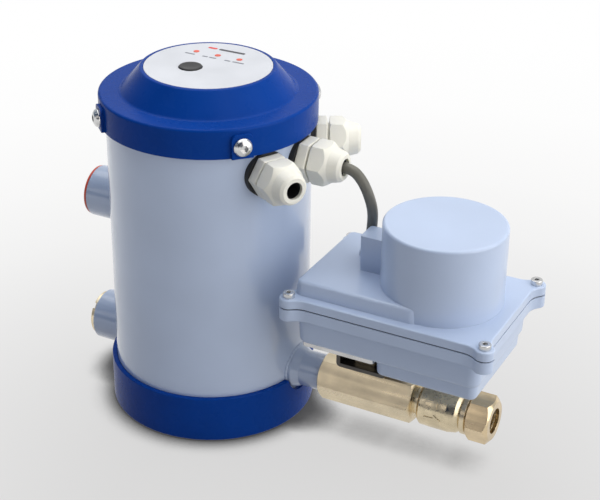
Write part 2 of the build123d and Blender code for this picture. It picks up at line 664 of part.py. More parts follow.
# ---------------------------------------------------------------- electronics above the partition
def electronics():
    with BuildPart() as standoffs:
        with BuildSketch(Plane.XY.offset(PARTITION_TOP_Z)):
            with PolarLocations(STANDOFF_RING_R, STANDOFF_COUNT, start_angle=STANDOFF_FIRST):
                RegularPolygon(STANDOFF_AF / 2, 6, major_radius=False)
        extrude(amount=BOARD_Z - PARTITION_TOP_Z)
        with BuildSketch(Plane.XY.offset(PARTITION_TOP_Z)):
            with PolarLocations(STANDOFF_RING_R, STANDOFF_COUNT, start_angle=STANDOFF_FIRST):
                Circle(STANDOFF_STUD_R)
        extrude(amount=-PARTITION_THICK / 2)
        with BuildSketch(Plane.XY.offset(BOARD_Z)):
            with PolarLocations(STANDOFF_RING_R, STANDOFF_COUNT, start_angle=STANDOFF_FIRST):
                Circle(BOARD_PEG_R)
        extrude(amount=BOARD_THICK)
        with BuildSketch(Plane.XY.offset(BOARD_TOP_Z)):
            with PolarLocations(STANDOFF_RING_R, STANDOFF_COUNT, start_angle=STANDOFF_FIRST):
                Circle(BOARD_PEG_R + 0.6)
        extrude(amount=2, taper=15)
    write(standoffs, "board_standoffs")

    with BuildPart() as board:
        with BuildSketch(Plane.XY.offset(BOARD_Z)):
            Circle(BOARD_R)
            with PolarLocations(STANDOFF_RING_R, STANDOFF_COUNT, start_angle=STANDOFF_FIRST):
                Circle(BOARD_PEG_R, mode=Mode.SUBTRACT)
            with Locations((BOARD_R, 0)):
                Rectangle(BOARD_NOTCH_DEPTH, BOARD_NOTCH, mode=Mode.SUBTRACT)
        extrude(amount=BOARD_THICK)
    write(board, "control_board")

    with BuildPart() as switch:
        with BuildSketch(Plane.XY.offset(BOARD_TOP_Z)):
            with Locations((BUTTON_X, BUTTON_Y)):
                RectangleRounded(SWITCH_SIDE, SWITCH_SIDE, 1)
        extrude(amount=SWITCH_HEIGHT)
        with BuildSketch(Plane.XY.offset(BOARD_TOP_Z + SWITCH_HEIGHT)):
            with Locations((BUTTON_X, BUTTON_Y)):
                Circle(SWITCH_STEM_R)
        extrude(amount=BUTTON_FOOT_Z - BUTTON_TRAVEL - PART_GAP - BOARD_TOP_Z - SWITCH_HEIGHT)
    write(switch, "button_switch")

    with BuildPart() as button:
        with BuildSketch(Plane.XY.offset(BUTTON_FOOT_Z)):
            with Locations((BUTTON_X, BUTTON_Y)):
                Circle(BUTTON_R)
        extrude(amount=BUTTON_TOP_Z - BUTTON_FOOT_Z)
        fillet(button.edges().group_by(Axis.Z)[-1], 0.6)
        with BuildSketch(Plane.XY.offset(BUTTON_FOOT_Z)):
            with Locations((BUTTON_X, BUTTON_Y)):
                Circle(BUTTON_R + BUTTON_FLANGE)
        extrude(amount=CAP_ROOF_Z - PART_GAP - BUTTON_FOOT_Z)
        with Locations((BUTTON_X, BUTTON_Y, BUTTON_TOP_Z + DISH_R - DISH_DEPTH)):
            Sphere(DISH_R, mode=Mode.SUBTRACT)
    write(button, "test_button")

    places = [(TERMINAL_X, y, BOARD_TOP_Z) for y in (-TERMINAL_PITCH, 0, TERMINAL_PITCH)]
    places.append((SUMP_START_X + 12, 15 - SUMP_HALF_Y, SUMP_BOTTOM_Z + HOUSING_WALL))
    with BuildPart() as terminals:
        for x, y, z in places:
            with BuildSketch(Plane.XY.offset(z)):
                with Locations((x, y)):
                    Rectangle(TERMINAL_DEPTH, TERMINAL_WIDTH)
            extrude(amount=TERMINAL_HEIGHT)
            with BuildSketch(Plane.XY.offset(z + TERMINAL_HEIGHT)):
                with Locations((x, y)):
                    with GridLocations(0, TERMINAL_WIDTH / 3, 1, 3):
                        Circle(1.4)
            extrude(amount=-3, mode=Mode.SUBTRACT)
    write(terminals, "terminal_blocks")

    with BuildPart() as power:
        with BuildSketch(Plane.XY.offset(BOARD_TOP_Z)):
            with Locations(TRANSFORMER_SPOT):
                RectangleRounded(TRANSFORMER_WIDTH, TRANSFORMER_DEPTH, 1.5)
        extrude(amount=TRANSFORMER_HEIGHT)
        with BuildSketch(Plane.XY.offset(BOARD_TOP_Z + TRANSFORMER_HEIGHT)):
            with Locations(TRANSFORMER_SPOT):
                Rectangle(TRANSFORMER_WIDTH * 0.6, TRANSFORMER_DEPTH)
        extrude(amount=TRANSFORMER_CORE)
        with BuildSketch(Plane.XY.offset(BOARD_TOP_Z)):
            with Locations(*RELAY_SPOTS):
                RectangleRounded(RELAY_WIDTH, RELAY_DEPTH, 0.8)
        extrude(amount=RELAY_HEIGHT)
    write(power, "transformer_and_relays")

    with BuildPart() as probe:
        with BuildSketch(Plane.XY.offset(PROBE_TIP_Z)):
            Circle(PROBE_R)
        extrude(amount=PARTITION_Z - PROBE_TIP_Z)
        fillet(probe.edges().group_by(Axis.Z)[0], 2)
        with BuildSketch(Plane.XY.offset(PARTITION_Z)):
            Circle(PROBE_THREAD_R)
        extrude(amount=PARTITION_THICK)
        with BuildSketch(Plane.XY.offset(PARTITION_TOP_Z)):
            RegularPolygon(PROBE_AF / 2, 6, major_radius=False)
        extrude(amount=PROBE_HEX_H)
        with BuildSketch(Plane.XY.offset(PARTITION_TOP_Z + PROBE_HEX_H)):
            Circle(PROBE_R + 3)
        extrude(amount=PROBE_HEX_H)
    write(probe, "level_probe")


# ---------------------------------------------------------------- inlet fittings
def inlet_fittings():
    with BuildPart() as plug:
        mouth = along_inlet(SOCKET_END_X, UPPER_PORT_Z)
        spin(mouth, [
            (-PLUG_DEPTH, 0),
            (-PLUG_DEPTH, SOCKET_THREAD_R - RUNNING),
            (0, SOCKET_THREAD_R - RUNNING),
            (0, SOCKET_R - 0.3),
            (PLUG_RIM, SOCKET_R - 0.5),
            (PLUG_RIM, SOCKET_THREAD_R - 2),
            (2 - PLUG_DEPTH, SOCKET_THREAD_R - 2.6),
            (2 - PLUG_DEPTH, 0),
        ])
    write(plug, "upper_port_plug")

    with BuildPart() as bushing:
        mouth = along_inlet(SOCKET_END_X, LOWER_PORT_Z)
        spin(mouth, [
            (-BUSHING_DEPTH, BUSHING_BORE_R),
            (-BUSHING_DEPTH, SOCKET_THREAD_R),
            (0, SOCKET_THREAD_R),
            (0, BUSHING_R),
            (BUSHING_PROUD - 0.6, BUSHING_R),
            (BUSHING_PROUD, BUSHING_R - 0.6),
            (BUSHING_PROUD, BUSHING_BORE_R),
        ])
        with BuildSketch(along_inlet(SOCKET_END_X + BUSHING_PROUD, LOWER_PORT_Z)):
            with PolarLocations(BUSHING_R, BUSHING_SLOTS, start_angle=45):
                Rectangle(6, 4)
        extrude(amount=-BUSHING_PROUD + 0.8, mode=Mode.SUBTRACT)
    write(bushing, "lower_port_bushing")


# ---------------------------------------------------------------- cable glands on the tank
def gland_groups():
    nut_tip = GLAND_REACH
    collar_end = GLAND_NUT_START - PART_GAP - 1.0
    with BuildPart() as washers:
        for angle in GLAND_ANGLES.values():
            with BuildSketch(radial(angle, GLAND_Z, TUBE_R - 2)):
                Circle(GLAND_AF / 2 * HEX)
                Circle(GLAND_THREAD_R, mode=Mode.SUBTRACT)
            extrude(amount=2 + WASHER_THICK)
        tank_cylinder(TUBE_R)
    write(washers, "gland_washers")

    with BuildPart() as bodies:
        for angle in GLAND_ANGLES.values():
            with BuildSketch(radial(angle, GLAND_Z, TUBE_R + WASHER_THICK)):
                RegularPolygon(GLAND_AF / 2, 6, major_radius=False)
            extrude(amount=collar_end - WASHER_THICK)
        chamfer(bodies.edges().filter_by(lambda e: abs(e.length - GLAND_AF / sqrt(3)) < 0.01), 0.6)
        for angle in GLAND_ANGLES.values():
            axis = radial(angle, GLAND_Z, TUBE_R)
            spin(axis, [
                (-GLAND_INNER, GLAND_BORE_R),
                (-GLAND_INNER, GLAND_THREAD_R),
                (WASHER_THICK, GLAND_THREAD_R),
                (WASHER_THICK + 1, GLAND_NECK_R),
                (GLAND_BODY_END, GLAND_NECK_R),
                (GLAND_BODY_END, GLAND_BORE_R),
            ])
            spin(axis, [
                (-GLAND_INNER - 1, 0),
                (-GLAND_INNER - 1, GLAND_BORE_R),
                (GLAND_BODY_END + 1, GLAND_BORE_R),
                (GLAND_BODY_END + 1, 0),
            ], Mode.SUBTRACT)
    write(bodies, "gland_bodies")

    with BuildPart() as inserts:
        for name, angle in GLAND_ANGLES.items():
            hole = CABLE_R if name == "middle" else GLAND_MOUTH_R
            spin(radial(angle, GLAND_Z, TUBE_R), [
                (GLAND_BODY_END - INSERT_GRIP, hole),
                (GLAND_BODY_END - INSERT_GRIP, GLAND_BORE_R),
                (GLAND_BODY_END, GLAND_BORE_R),
                (INSERT_END, INSERT_TIP_R),
                (INSERT_END, hole),
            ])
    write(inserts, "gland_inserts")

    with BuildPart() as locknuts:
        seat = sqrt(TUBE_BORE_R ** 2 - (GLAND_AF / 2 * HEX) ** 2)
        for angle in GLAND_ANGLES.values():
            with BuildSketch(radial(angle, GLAND_Z, seat)):
                RegularPolygon(GLAND_AF / 2, 6, major_radius=False, rotation=30)
                Circle(GLAND_THREAD_R, mode=Mode.SUBTRACT)
            extrude(amount=-LOCKNUT_THICK)
    write(locknuts, "gland_locknuts")

    for name, angle in GLAND_ANGLES.items():
        axis = radial(angle, GLAND_Z, TUBE_R)
        with BuildPart() as nut:
            with BuildSketch(radial(angle, GLAND_Z, TUBE_R + GLAND_NUT_START)):
                RegularPolygon(GLAND_AF / 2, 6, major_radius=False)
            extrude(amount=nut_tip - GLAND_NUT_START)
            spin(axis, [
                (GLAND_NUT_START, 0),
                (GLAND_NUT_START, GLAND_AF / 2 * HEX - 1),
                (GLAND_NUT_START + 1, GLAND_AF / 2 * HEX + 0.1),
                (GLAND_NUT_HEX_END, GLAND_AF / 2 * HEX + 0.1),
                (GLAND_NUT_HEX_END + 4, GLAND_AF / 2 - 1.2),
                (nut_tip - 1.6, GLAND_TIP_R + 1.6),
                (nut_tip, GLAND_TIP_R),
                (nut_tip, 0),
            ], Mode.INTERSECT)
            spin(axis, [
                (GLAND_NUT_START - 1, 0),
                (GLAND_NUT_START - 1, GLAND_NECK_R + PART_GAP),
                (GLAND_BODY_END + PART_GAP, GLAND_NECK_R + PART_GAP),
                (INSERT_END, INSERT_TIP_R + PART_GAP + 0.9),
                (INSERT_END + PART_GAP, GLAND_MOUTH_R + 0.1),
                (nut_tip + 1, GLAND_MOUTH_R + 0.1),
                (nut_tip + 1, 0),
            ], Mode.SUBTRACT)
        write(nut, f"gland_nut_{name}")


# ---------------------------------------------------------------- ball valve
def ball_valve():
    centre = (SPINDLE_X, 0, OUTLET_Z)
    seat_r = VALVE_THREAD_R
    seat_start = SPINDLE_X - BALL_R - SEAT_BACK
    seat_end = SPINDLE_X + BALL_R + SEAT_BACK
    with BuildPart() as body:
        with BuildSketch(along_x(VALVE_START_X, OUTLET_Z)):
            RegularPolygon(VALVE_AF / 2, 6, major_radius=False)
        extrude(amount=VALVE_LENGTH)
        spin(along_x(VALVE_START_X, OUTLET_Z), [
            (0, 0),
            (0, VALVE_AF / 2 - 0.4),
            (1.6, VALVE_AF / 2 * HEX + 0.1),
            (VALVE_LENGTH - 1.6, VALVE_AF / 2 * HEX + 0.1),
            (VALVE_LENGTH, VALVE_AF / 2 - 0.4),
            (VALVE_LENGTH, 0),
        ], Mode.INTERSECT)
        spin(along_x(VALVE_START_X, OUTLET_Z), [
            (0, 0),
            (0, VALVE_THREAD_R),
            (VALVE_THREAD_DEPTH, VALVE_THREAD_R),
            (VALVE_THREAD_DEPTH, VALVE_BORE_R),
            (seat_start - VALVE_START_X, VALVE_BORE_R),
            (seat_start - VALVE_START_X, seat_r),
            (VALVE_LENGTH, seat_r),
            (VALVE_LENGTH, 0),
        ], Mode.SUBTRACT)
        with BuildSketch(Plane.XY.offset(BONNET_SEAT_Z)):
            with Locations((SPINDLE_X, 0)):
                Circle(BONNET_R + 0.2)
        extrude(amount=20, mode=Mode.SUBTRACT)
        with BuildSketch(Plane.XY.offset(OUTLET_Z)):
            with Locations((SPINDLE_X, 0)):
                Circle(BONNET_SPIGOT_R)
        extrude(amount=30, mode=Mode.SUBTRACT)
    write(body, "valve_body")

    with BuildPart() as seats:
        for side in (-1, 1):
            outer_x = SPINDLE_X + side * (BALL_R + SEAT_BACK)
            inner_x = outer_x - side * SEAT_LENGTH
            touch_r = BALL_R + RUNNING
            reach_out = sqrt(touch_r ** 2 - VALVE_BORE_R ** 2)
            reach_in = abs(inner_x - SPINDLE_X)
            rim_r = sqrt(touch_r ** 2 - reach_in ** 2)
            middle = (reach_out + reach_in) / 2
            with BuildSketch(Plane.XZ):
                with BuildLine():
                    low = (SPINDLE_X + side * reach_out, OUTLET_Z + VALVE_BORE_R)
                    over = (SPINDLE_X + side * middle, OUTLET_Z + sqrt(touch_r ** 2 - middle ** 2))
                    rim = (inner_x, OUTLET_Z + rim_r)
                    ThreePointArc(low, over, rim)
                    Polyline(rim, (inner_x, OUTLET_Z + seat_r), (outer_x, OUTLET_Z + seat_r),
                             (outer_x, OUTLET_Z + VALVE_BORE_R), low)
                make_face()
            revolve(axis=Axis((0, 0, OUTLET_Z), (1, 0, 0)))
    write(seats, "ball_seats")

    with BuildPart() as retainer:
        spin(along_x(0, OUTLET_Z), [
            (seat_end, VALVE_BORE_R),
            (seat_end, seat_r),
            (seat_end + RETAINER_LENGTH, seat_r),
            (seat_end + RETAINER_LENGTH, VALVE_BORE_R),
        ])
    write(retainer, "seat_retainer")

    with BuildPart() as ball:
        with Locations(centre):
            Sphere(BALL_R)
        with BuildSketch(Plane.XZ.offset(-BALL_R - 1)):
            with Locations((SPINDLE_X, OUTLET_Z)):
                Circle(VALVE_BORE_R)
        extrude(amount=2 * BALL_R + 2, mode=Mode.SUBTRACT)
        with BuildSketch(Plane.XY.offset(OUTLET_Z + BALL_R - SLOT_DEPTH)):
            with Locations((SPINDLE_X, 0)):
                Rectangle(BLADE_THICK, 2 * BALL_R)
        extrude(amount=SLOT_DEPTH + 1, mode=Mode.SUBTRACT)
    write(ball, "ball")

    with BuildPart() as stem:
        with BuildSketch(Plane.XY.offset(OUTLET_Z + BALL_R - SLOT_DEPTH)):
            with Locations((SPINDLE_X, 0)):
                Rectangle(BLADE_THICK, BLADE_WIDTH)
        extrude(amount=STEM_COLLAR_Z - OUTLET_Z - BALL_R + SLOT_DEPTH)
        with BuildSketch(Plane.XY.offset(STEM_COLLAR_Z)):
            with Locations((SPINDLE_X, 0)):
                Circle(STEM_COLLAR_R)
        extrude(amount=STEM_COLLAR_H)
        with BuildSketch(Plane.XY.offset(STEM_COLLAR_Z)):
            with Locations((SPINDLE_X, 0)):
                Circle(STEM_R)
        extrude(amount=STEM_TOP_Z - STEM_COLLAR_Z)
    write(stem, "valve_stem")

    spindle = Plane(origin=(SPINDLE_X, 0, 0), x_dir=(1, 0, 0), z_dir=(0, 0, 1))
    with BuildPart() as bonnet:
        spin(spindle, [
            (STEM_COLLAR_Z - 0.2, STEM_COLLAR_R + RUNNING),
            (STEM_COLLAR_Z - 0.2, BONNET_SPIGOT_R),
            (BONNET_SEAT_Z, BONNET_SPIGOT_R),
            (BONNET_SEAT_Z, BONNET_R),
            (BRACKET_Z, BONNET_R),
            (BRACKET_Z, BONNET_NECK_R),
            (BONNET_TOP_Z, BONNET_NECK_R),
            (BONNET_TOP_Z, PACKING_R),
            (PACKING_Z, PACKING_R),
            (PACKING_Z, STEM_R + RUNNING),
            (STEM_COLLAR_Z + STEM_COLLAR_H + RUNNING, STEM_R + RUNNING),
            (STEM_COLLAR_Z + STEM_COLLAR_H + RUNNING, STEM_COLLAR_R + RUNNING),
        ])
    write(bonnet, "bonnet")

    with BuildPart() as packing:
        spin(spindle, [
            (PACKING_Z, STEM_R + RUNNING),
            (PACKING_Z, PACKING_R),
            (PACKING_Z + PACKING_HEIGHT, PACKING_R),
            (PACKING_Z + PACKING_HEIGHT, STEM_R + RUNNING),
        ])
    write(packing, "stem_packing")

    with BuildPart() as nuts:
        spin(spindle, [
            (PACKING_Z + PACKING_HEIGHT, STEM_R + RUNNING),
            (PACKING_Z + PACKING_HEIGHT, PACKING_R),
            (BONNET_TOP_Z, PACKING_R),
            (BONNET_TOP_Z, BONNET_NECK_R - 0.5),
            (BONNET_TOP_Z + 1.5, BONNET_NECK_R - 0.5),
            (BONNET_TOP_Z + 1.5, STEM_R + RUNNING),
        ])
        with BuildSketch(Plane.XY.offset(BRACKET_Z + BRACKET_WALL)):
            with Locations((SPINDLE_X, 0)):
                RegularPolygon(BONNET_NUT_AF / 2, 6, major_radius=False)
                Circle(BONNET_NECK_R, mode=Mode.SUBTRACT)
        extrude(amount=BONNET_NUT_H)
    write(nuts, "bonnet_nuts")


def bracket():
    top = PLATE_Z
    with BuildPart() as box:
        with BuildSketch(Plane.XZ.offset(BRACKET_HALF_Y)):
            with Locations((SPINDLE_X, (BRACKET_Z + top) / 2)):
                RectangleRounded(2 * BRACKET_HALF_X, top - BRACKET_Z, BRACKET_WALL)
                Rectangle(2 * (BRACKET_HALF_X - BRACKET_WALL), top - BRACKET_Z - 2 * BRACKET_WALL,
                          mode=Mode.SUBTRACT)
        extrude(amount=-2 * BRACKET_HALF_Y)
        with BuildSketch(Plane.XY.offset(BRACKET_Z)):
            with Locations((SPINDLE_X, 0)):
                Circle(BONNET_NECK_R)
        extrude(amount=BRACKET_WALL, mode=Mode.SUBTRACT)
        with BuildSketch(Plane.XY.offset(top - BRACKET_WALL)):
            with Locations((SPINDLE_X, 0)):
                Circle(COUPLING_R + 1.5)
                with GridLocations(2 * BRACKET_SCREW_X, 2 * BRACKET_SCREW_Y, 2, 2):
                    Circle(BRACKET_SCREW_R)
        extrude(amount=BRACKET_WALL, mode=Mode.SUBTRACT)
    write(box, "valve_bracket")

    with BuildPart() as plate:
        with BuildSketch(Plane.XY.offset(PLATE_Z)):
            with Locations(((PLATE_START_X + SUMP_START_X - 1) / 2, 0)):
                RectangleRounded(SUMP_START_X - 1 - PLATE_START_X, 2 * PLATE_HALF_Y, 2)
            with Locations((SPINDLE_X, 0)):
                Circle(COUPLING_R + 1.5, mode=Mode.SUBTRACT)
                with GridLocations(2 * BRACKET_SCREW_X, 2 * BRACKET_SCREW_Y, 2, 2):
                    Circle(BRACKET_SCREW_R, mode=Mode.SUBTRACT)
            slot_y = PLATE_HALF_Y - PLATE_SLOT_INSET
            with Locations(*[(PLATE_START_X + PLATE_SLOT_INSET, y) for y in (-slot_y, slot_y)]):
                Circle(PLATE_SLOT_R, mode=Mode.SUBTRACT)
        extrude(amount=PLATE_THICK)
    write(plate, "mounting_plate")


# ---------------------------------------------------------------- actuator housing
def act_plane(z):
    return Plane(origin=(ACT_X, 0, z), x_dir=(1, 0, 0), z_dir=(0, 0, 1))


def ear_places():
    return GridLocations(2 * SCREW_HALF_X, 2 * SCREW_HALF_Y, 2, 2)


def opening_sketch(mode=Mode.ADD):
    """Mouth of the housing, inside its walls."""
    RectangleRounded(2 * (HOUSING_HALF_X - HOUSING_WALL), 2 * (HOUSING_HALF_Y - HOUSING_WALL), 5, mode=mode)


def flange_sketch(z, inset=0.0, opened=True):
    """Housing flange: slightly waisted rectangle whose corners swell into screw ears."""
    with BuildSketch(act_plane(z)) as outline:
        Rectangle(2 * FLANGE_HALF_X, 2 * FLANGE_HALF_Y)
        with ear_places():
            Circle(EAR_R)
        fillet(outline.vertices(), EAR_BLEND_R)
        if inset:
            offset(amount=-inset)
        with ear_places():
            Circle(HOUSING_SCREW_R, mode=Mode.SUBTRACT)
        if opened:
            opening_sketch(Mode.SUBTRACT)
    return outline.sketch


def actuator_housing():
    with BuildPart() as base:
        with BuildSketch(act_plane(FLANGE_BOTTOM_Z + 1)):
            RectangleRounded(2 * HOUSING_HALF_X, 2 * HOUSING_HALF_Y, 7)
        extrude(amount=HOUSING_BOTTOM_Z - FLANGE_BOTTOM_Z - 1, taper=3)
        fillet(base.edges().group_by(Axis.Z)[0], 3.5)
        with BuildSketch(Plane.XY.offset(HOUSING_BOTTOM_Z + 4)):
            with Locations(((SUMP_START_X + SUMP_END_X) / 2, 0)):
                RectangleRounded(SUMP_END_X - SUMP_START_X, 2 * SUMP_HALF_Y, 5)
        extrude(amount=SUMP_BOTTOM_Z - HOUSING_BOTTOM_Z - 4, taper=3)
        fillet(base.edges().group_by(Axis.Z)[0], 3)
        with BuildSketch(act_plane(FLANGE_BOTTOM_Z + 1)):
            opening_sketch()
        extrude(amount=HOUSING_BOTTOM_Z + HOUSING_WALL - FLANGE_BOTTOM_Z - 1, taper=3, mode=Mode.SUBTRACT)
        with BuildSketch(Plane.XY.offset(HOUSING_BOTTOM_Z + 4)):
            with Locations(((SUMP_START_X + SUMP_END_X) / 2, 0)):
                RectangleRounded(SUMP_END_X - SUMP_START_X - 2 * HOUSING_WALL,
                                 2 * (SUMP_HALF_Y - HOUSING_WALL), 3)
        extrude(amount=SUMP_BOTTOM_Z + HOUSING_WALL - HOUSING_BOTTOM_Z - 4, taper=3, mode=Mode.SUBTRACT)
        extrude(flange_sketch(FLANGE_BOTTOM_Z), amount=GASKET_Z - FLANGE_BOTTOM_Z)
        with BuildSketch(Plane.XY.offset(HOUSING_BOTTOM_Z)):
            with Locations((SPINDLE_X, 0)):
                Circle(BUSH_R)
                with GridLocations(2 * BRACKET_SCREW_X, 2 * BRACKET_SCREW_Y, 2, 2):
                    Circle(BRACKET_SCREW_R)
        extrude(amount=HOUSING_WALL, mode=Mode.SUBTRACT)
        with BuildSketch(Plane.XY.offset(HOUSING_BOTTOM_Z + HOUSING_WALL)):
            with pillar_places():
                Circle(PILLAR_R)
                Circle(PILLAR_SCREW_R, mode=Mode.SUBTRACT)
        extrude(amount=PLATFORM_Z - HOUSING_BOTTOM_Z - HOUSING_WALL)
    write(base, "actuator_base")

    with BuildPart() as gasket:
        extrude(flange_sketch(GASKET_Z, GASKET_INSET), amount=GASKET_THICK)
    write(gasket, "actuator_gasket")

    inner = HOUSING_WALL
    with BuildPart() as cover:
        extrude(flange_sketch(GASKET_TOP_Z, opened=False), amount=COVER_FLANGE_TOP_Z - GASKET_TOP_Z)
        fillet(cover.edges().group_by(Axis.Z)[-1].filter_by(lambda e: e.length > 8), 0.9)
        with BuildSketch(Plane.XY.offset(COVER_FLANGE_TOP_Z - 1)):
            with Locations(((PAD_START_X + MOTOR_X) / 2, 0)):
                RectangleRounded(MOTOR_X - PAD_START_X, 2 * PAD_HALF_Y, 5)
        extrude(amount=PAD_TOP_Z - COVER_FLANGE_TOP_Z + 1, taper=5)
        fillet(cover.edges().group_by(Axis.Z)[-1].filter_by(lambda e: e.center().X < MOTOR_X - 1), 2.2)
        with BuildSketch(Plane.XY.offset(COVER_FLANGE_TOP_Z - 1)):
            with Locations((MOTOR_X, 0)):
                Circle(DOME_R)
        extrude(amount=DOME_TOP_Z - COVER_FLANGE_TOP_Z + 1)
        fillet(cover.edges().group_by(Axis.Z)[-1], 1.8)
        with BuildSketch(Plane.XY.offset(PAD_TOP_Z - 1)):
            with Locations(((BOSS_START_X + MOTOR_X) / 2, 0)):
                RectangleRounded(MOTOR_X - BOSS_START_X, 2 * BOSS_HALF_Y, 1.5)
            with Locations((GROMMET_X, GROMMET_Y)):
                Circle(GROMMET_SEAT_R)
        extrude(amount=GROMMET_SEAT_Z - PAD_TOP_Z + 1)
        with BuildSketch(Plane.XY.offset(GROMMET_SEAT_Z)):
            with Locations(((BOSS_START_X + MOTOR_X) / 2, 0)):
                RectangleRounded(MOTOR_X - BOSS_START_X, 2 * BOSS_HALF_Y, 1.5)
        extrude(amount=BOSS_TOP_Z - GROMMET_SEAT_Z)
        with BuildSketch(act_plane(GASKET_TOP_Z)):
            opening_sketch()
        extrude(amount=COVER_FLANGE_TOP_Z - inner - GASKET_TOP_Z, mode=Mode.SUBTRACT)
        with BuildSketch(Plane.XY.offset(COVER_FLANGE_TOP_Z - inner)):
            with Locations(((PAD_START_X + MOTOR_X) / 2 + inner, 0)):
                RectangleRounded(MOTOR_X - PAD_START_X - inner, 2 * (PAD_HALF_Y - inner), 3)
        extrude(amount=PAD_TOP_Z - COVER_FLANGE_TOP_Z, taper=5, mode=Mode.SUBTRACT)
        with BuildSketch(Plane.XY.offset(COVER_FLANGE_TOP_Z - inner)):
            with Locations((MOTOR_X, 0)):
                Circle(DOME_R - inner)
        extrude(amount=DOME_TOP_Z - COVER_FLANGE_TOP_Z, mode=Mode.SUBTRACT)
        with BuildSketch(Plane.XY.offset(PAD_TOP_Z - inner - 1)):
            with Locations(((BOSS_START_X + MOTOR_X) / 2 + inner, 0)):
                Rectangle(MOTOR_X - BOSS_START_X - inner, 2 * (BOSS_HALF_Y - inner))
        extrude(amount=BOSS_TOP_Z - PAD_TOP_Z + 1, mode=Mode.SUBTRACT)
        with BuildSketch(Plane.XY.offset(PAD_TOP_Z - inner - 1)):
            with Locations((GROMMET_X, GROMMET_Y)):
                Circle(GROMMET_R)
        extrude(amount=GROMMET_SEAT_Z - PAD_TOP_Z + inner + 2, mode=Mode.SUBTRACT)
    write(cover, "actuator_cover")

    with BuildPart() as screws:
        with BuildSketch(act_plane(COVER_FLANGE_TOP_Z)):
            with ear_places():
                Circle(HOUSING_SCREW_HEAD_R)
        extrude(amount=HOUSING_SCREW_HEAD_H)
        fillet(screws.edges().group_by(Axis.Z)[-1], 0.5)
        with BuildSketch(act_plane(COVER_FLANGE_TOP_Z + HOUSING_SCREW_HEAD_H)):
            with ear_places():
                RegularPolygon(1.4, 6, major_radius=False)
        extrude(amount=-HOUSING_SCREW_HEAD_H + 0.8, mode=Mode.SUBTRACT)
        with BuildSketch(act_plane(COVER_FLANGE_TOP_Z)):
            with ear_places():
                Circle(HOUSING_SCREW_R)
        extrude(amount=FLANGE_BOTTOM_Z + 1 - COVER_FLANGE_TOP_Z)
    write(screws, "cover_screws")

    with BuildPart() as grommet:
        seat = Plane(origin=(GROMMET_X, GROMMET_Y, 0), x_dir=(1, 0, 0), z_dir=(0, 0, 1))
        flange_z = PAD_TOP_Z - inner - 1
        spin(seat, [
            (flange_z - 2, CABLE_R),
            (flange_z - 2, GROMMET_FLANGE_R),
            (flange_z, GROMMET_FLANGE_R),
            (flange_z, GROMMET_R),
            (GROMMET_TOP_Z - 2, GROMMET_R),
            (GROMMET_TOP_Z, GROMMET_R - 1),
            (GROMMET_TOP_Z, CABLE_R),
        ])
    write(grommet, "cable_grommet")


# ---------------------------------------------------------------- actuator drive
def involute(angle):
    return tan(angle) - angle


def gear_teeth(teeth, count, first):
    """In the current sketch: count involute teeth of a full gear of that many, the first at that angle."""
    pitch_r = GEAR_MODULE * teeth / 2
    base_r = pitch_r * cos(radians(PRESSURE_ANGLE))
    root_r = pitch_r - 1.25 * GEAR_MODULE
    tip_r = pitch_r + GEAR_MODULE
    start_r = max(root_r, base_r)
    half_thick = (pi * GEAR_MODULE / 2 - GEAR_BACKLASH) / (2 * pitch_r)

    def flank(radius, side):
        lean = acos(min(1.0, base_r / radius))
        half = half_thick + involute(radians(PRESSURE_ANGLE)) - involute(lean)
        return (radius * cos(half), side * radius * sin(half))

    foot = flank(start_r, 1)[1]
    with BuildSketch(mode=Mode.PRIVATE) as tooth:
        with BuildLine():
            low = ThreePointArc(flank(start_r, -1), flank(pitch_r, -1), flank(tip_r, -1))
            tip = Line(low @ 1, flank(tip_r, 1))
            high = ThreePointArc(tip @ 1, flank(pitch_r, 1), flank(start_r, 1))
            Polyline(high @ 1, (root_r - TOOTH_ROOT, foot), (root_r - TOOTH_ROOT, -foot), low @ 0)
        make_face()
    step = 360 / teeth
    span = step * (count - 1)
    with Locations(*[Location((0, 0, 0), (0, 0, first + step * i)) for i in range(count)]):
        add(tooth.sketch)
    if count == teeth:
        Circle(root_r)
    else:
        with BuildLine() as web:
            rim = CenterArc((0, 0), root_r, first - step / 3, span + step * 2 / 3)
            Polyline(rim @ 1, (0, 0), rim @ 0)
        make_face(web.edges())


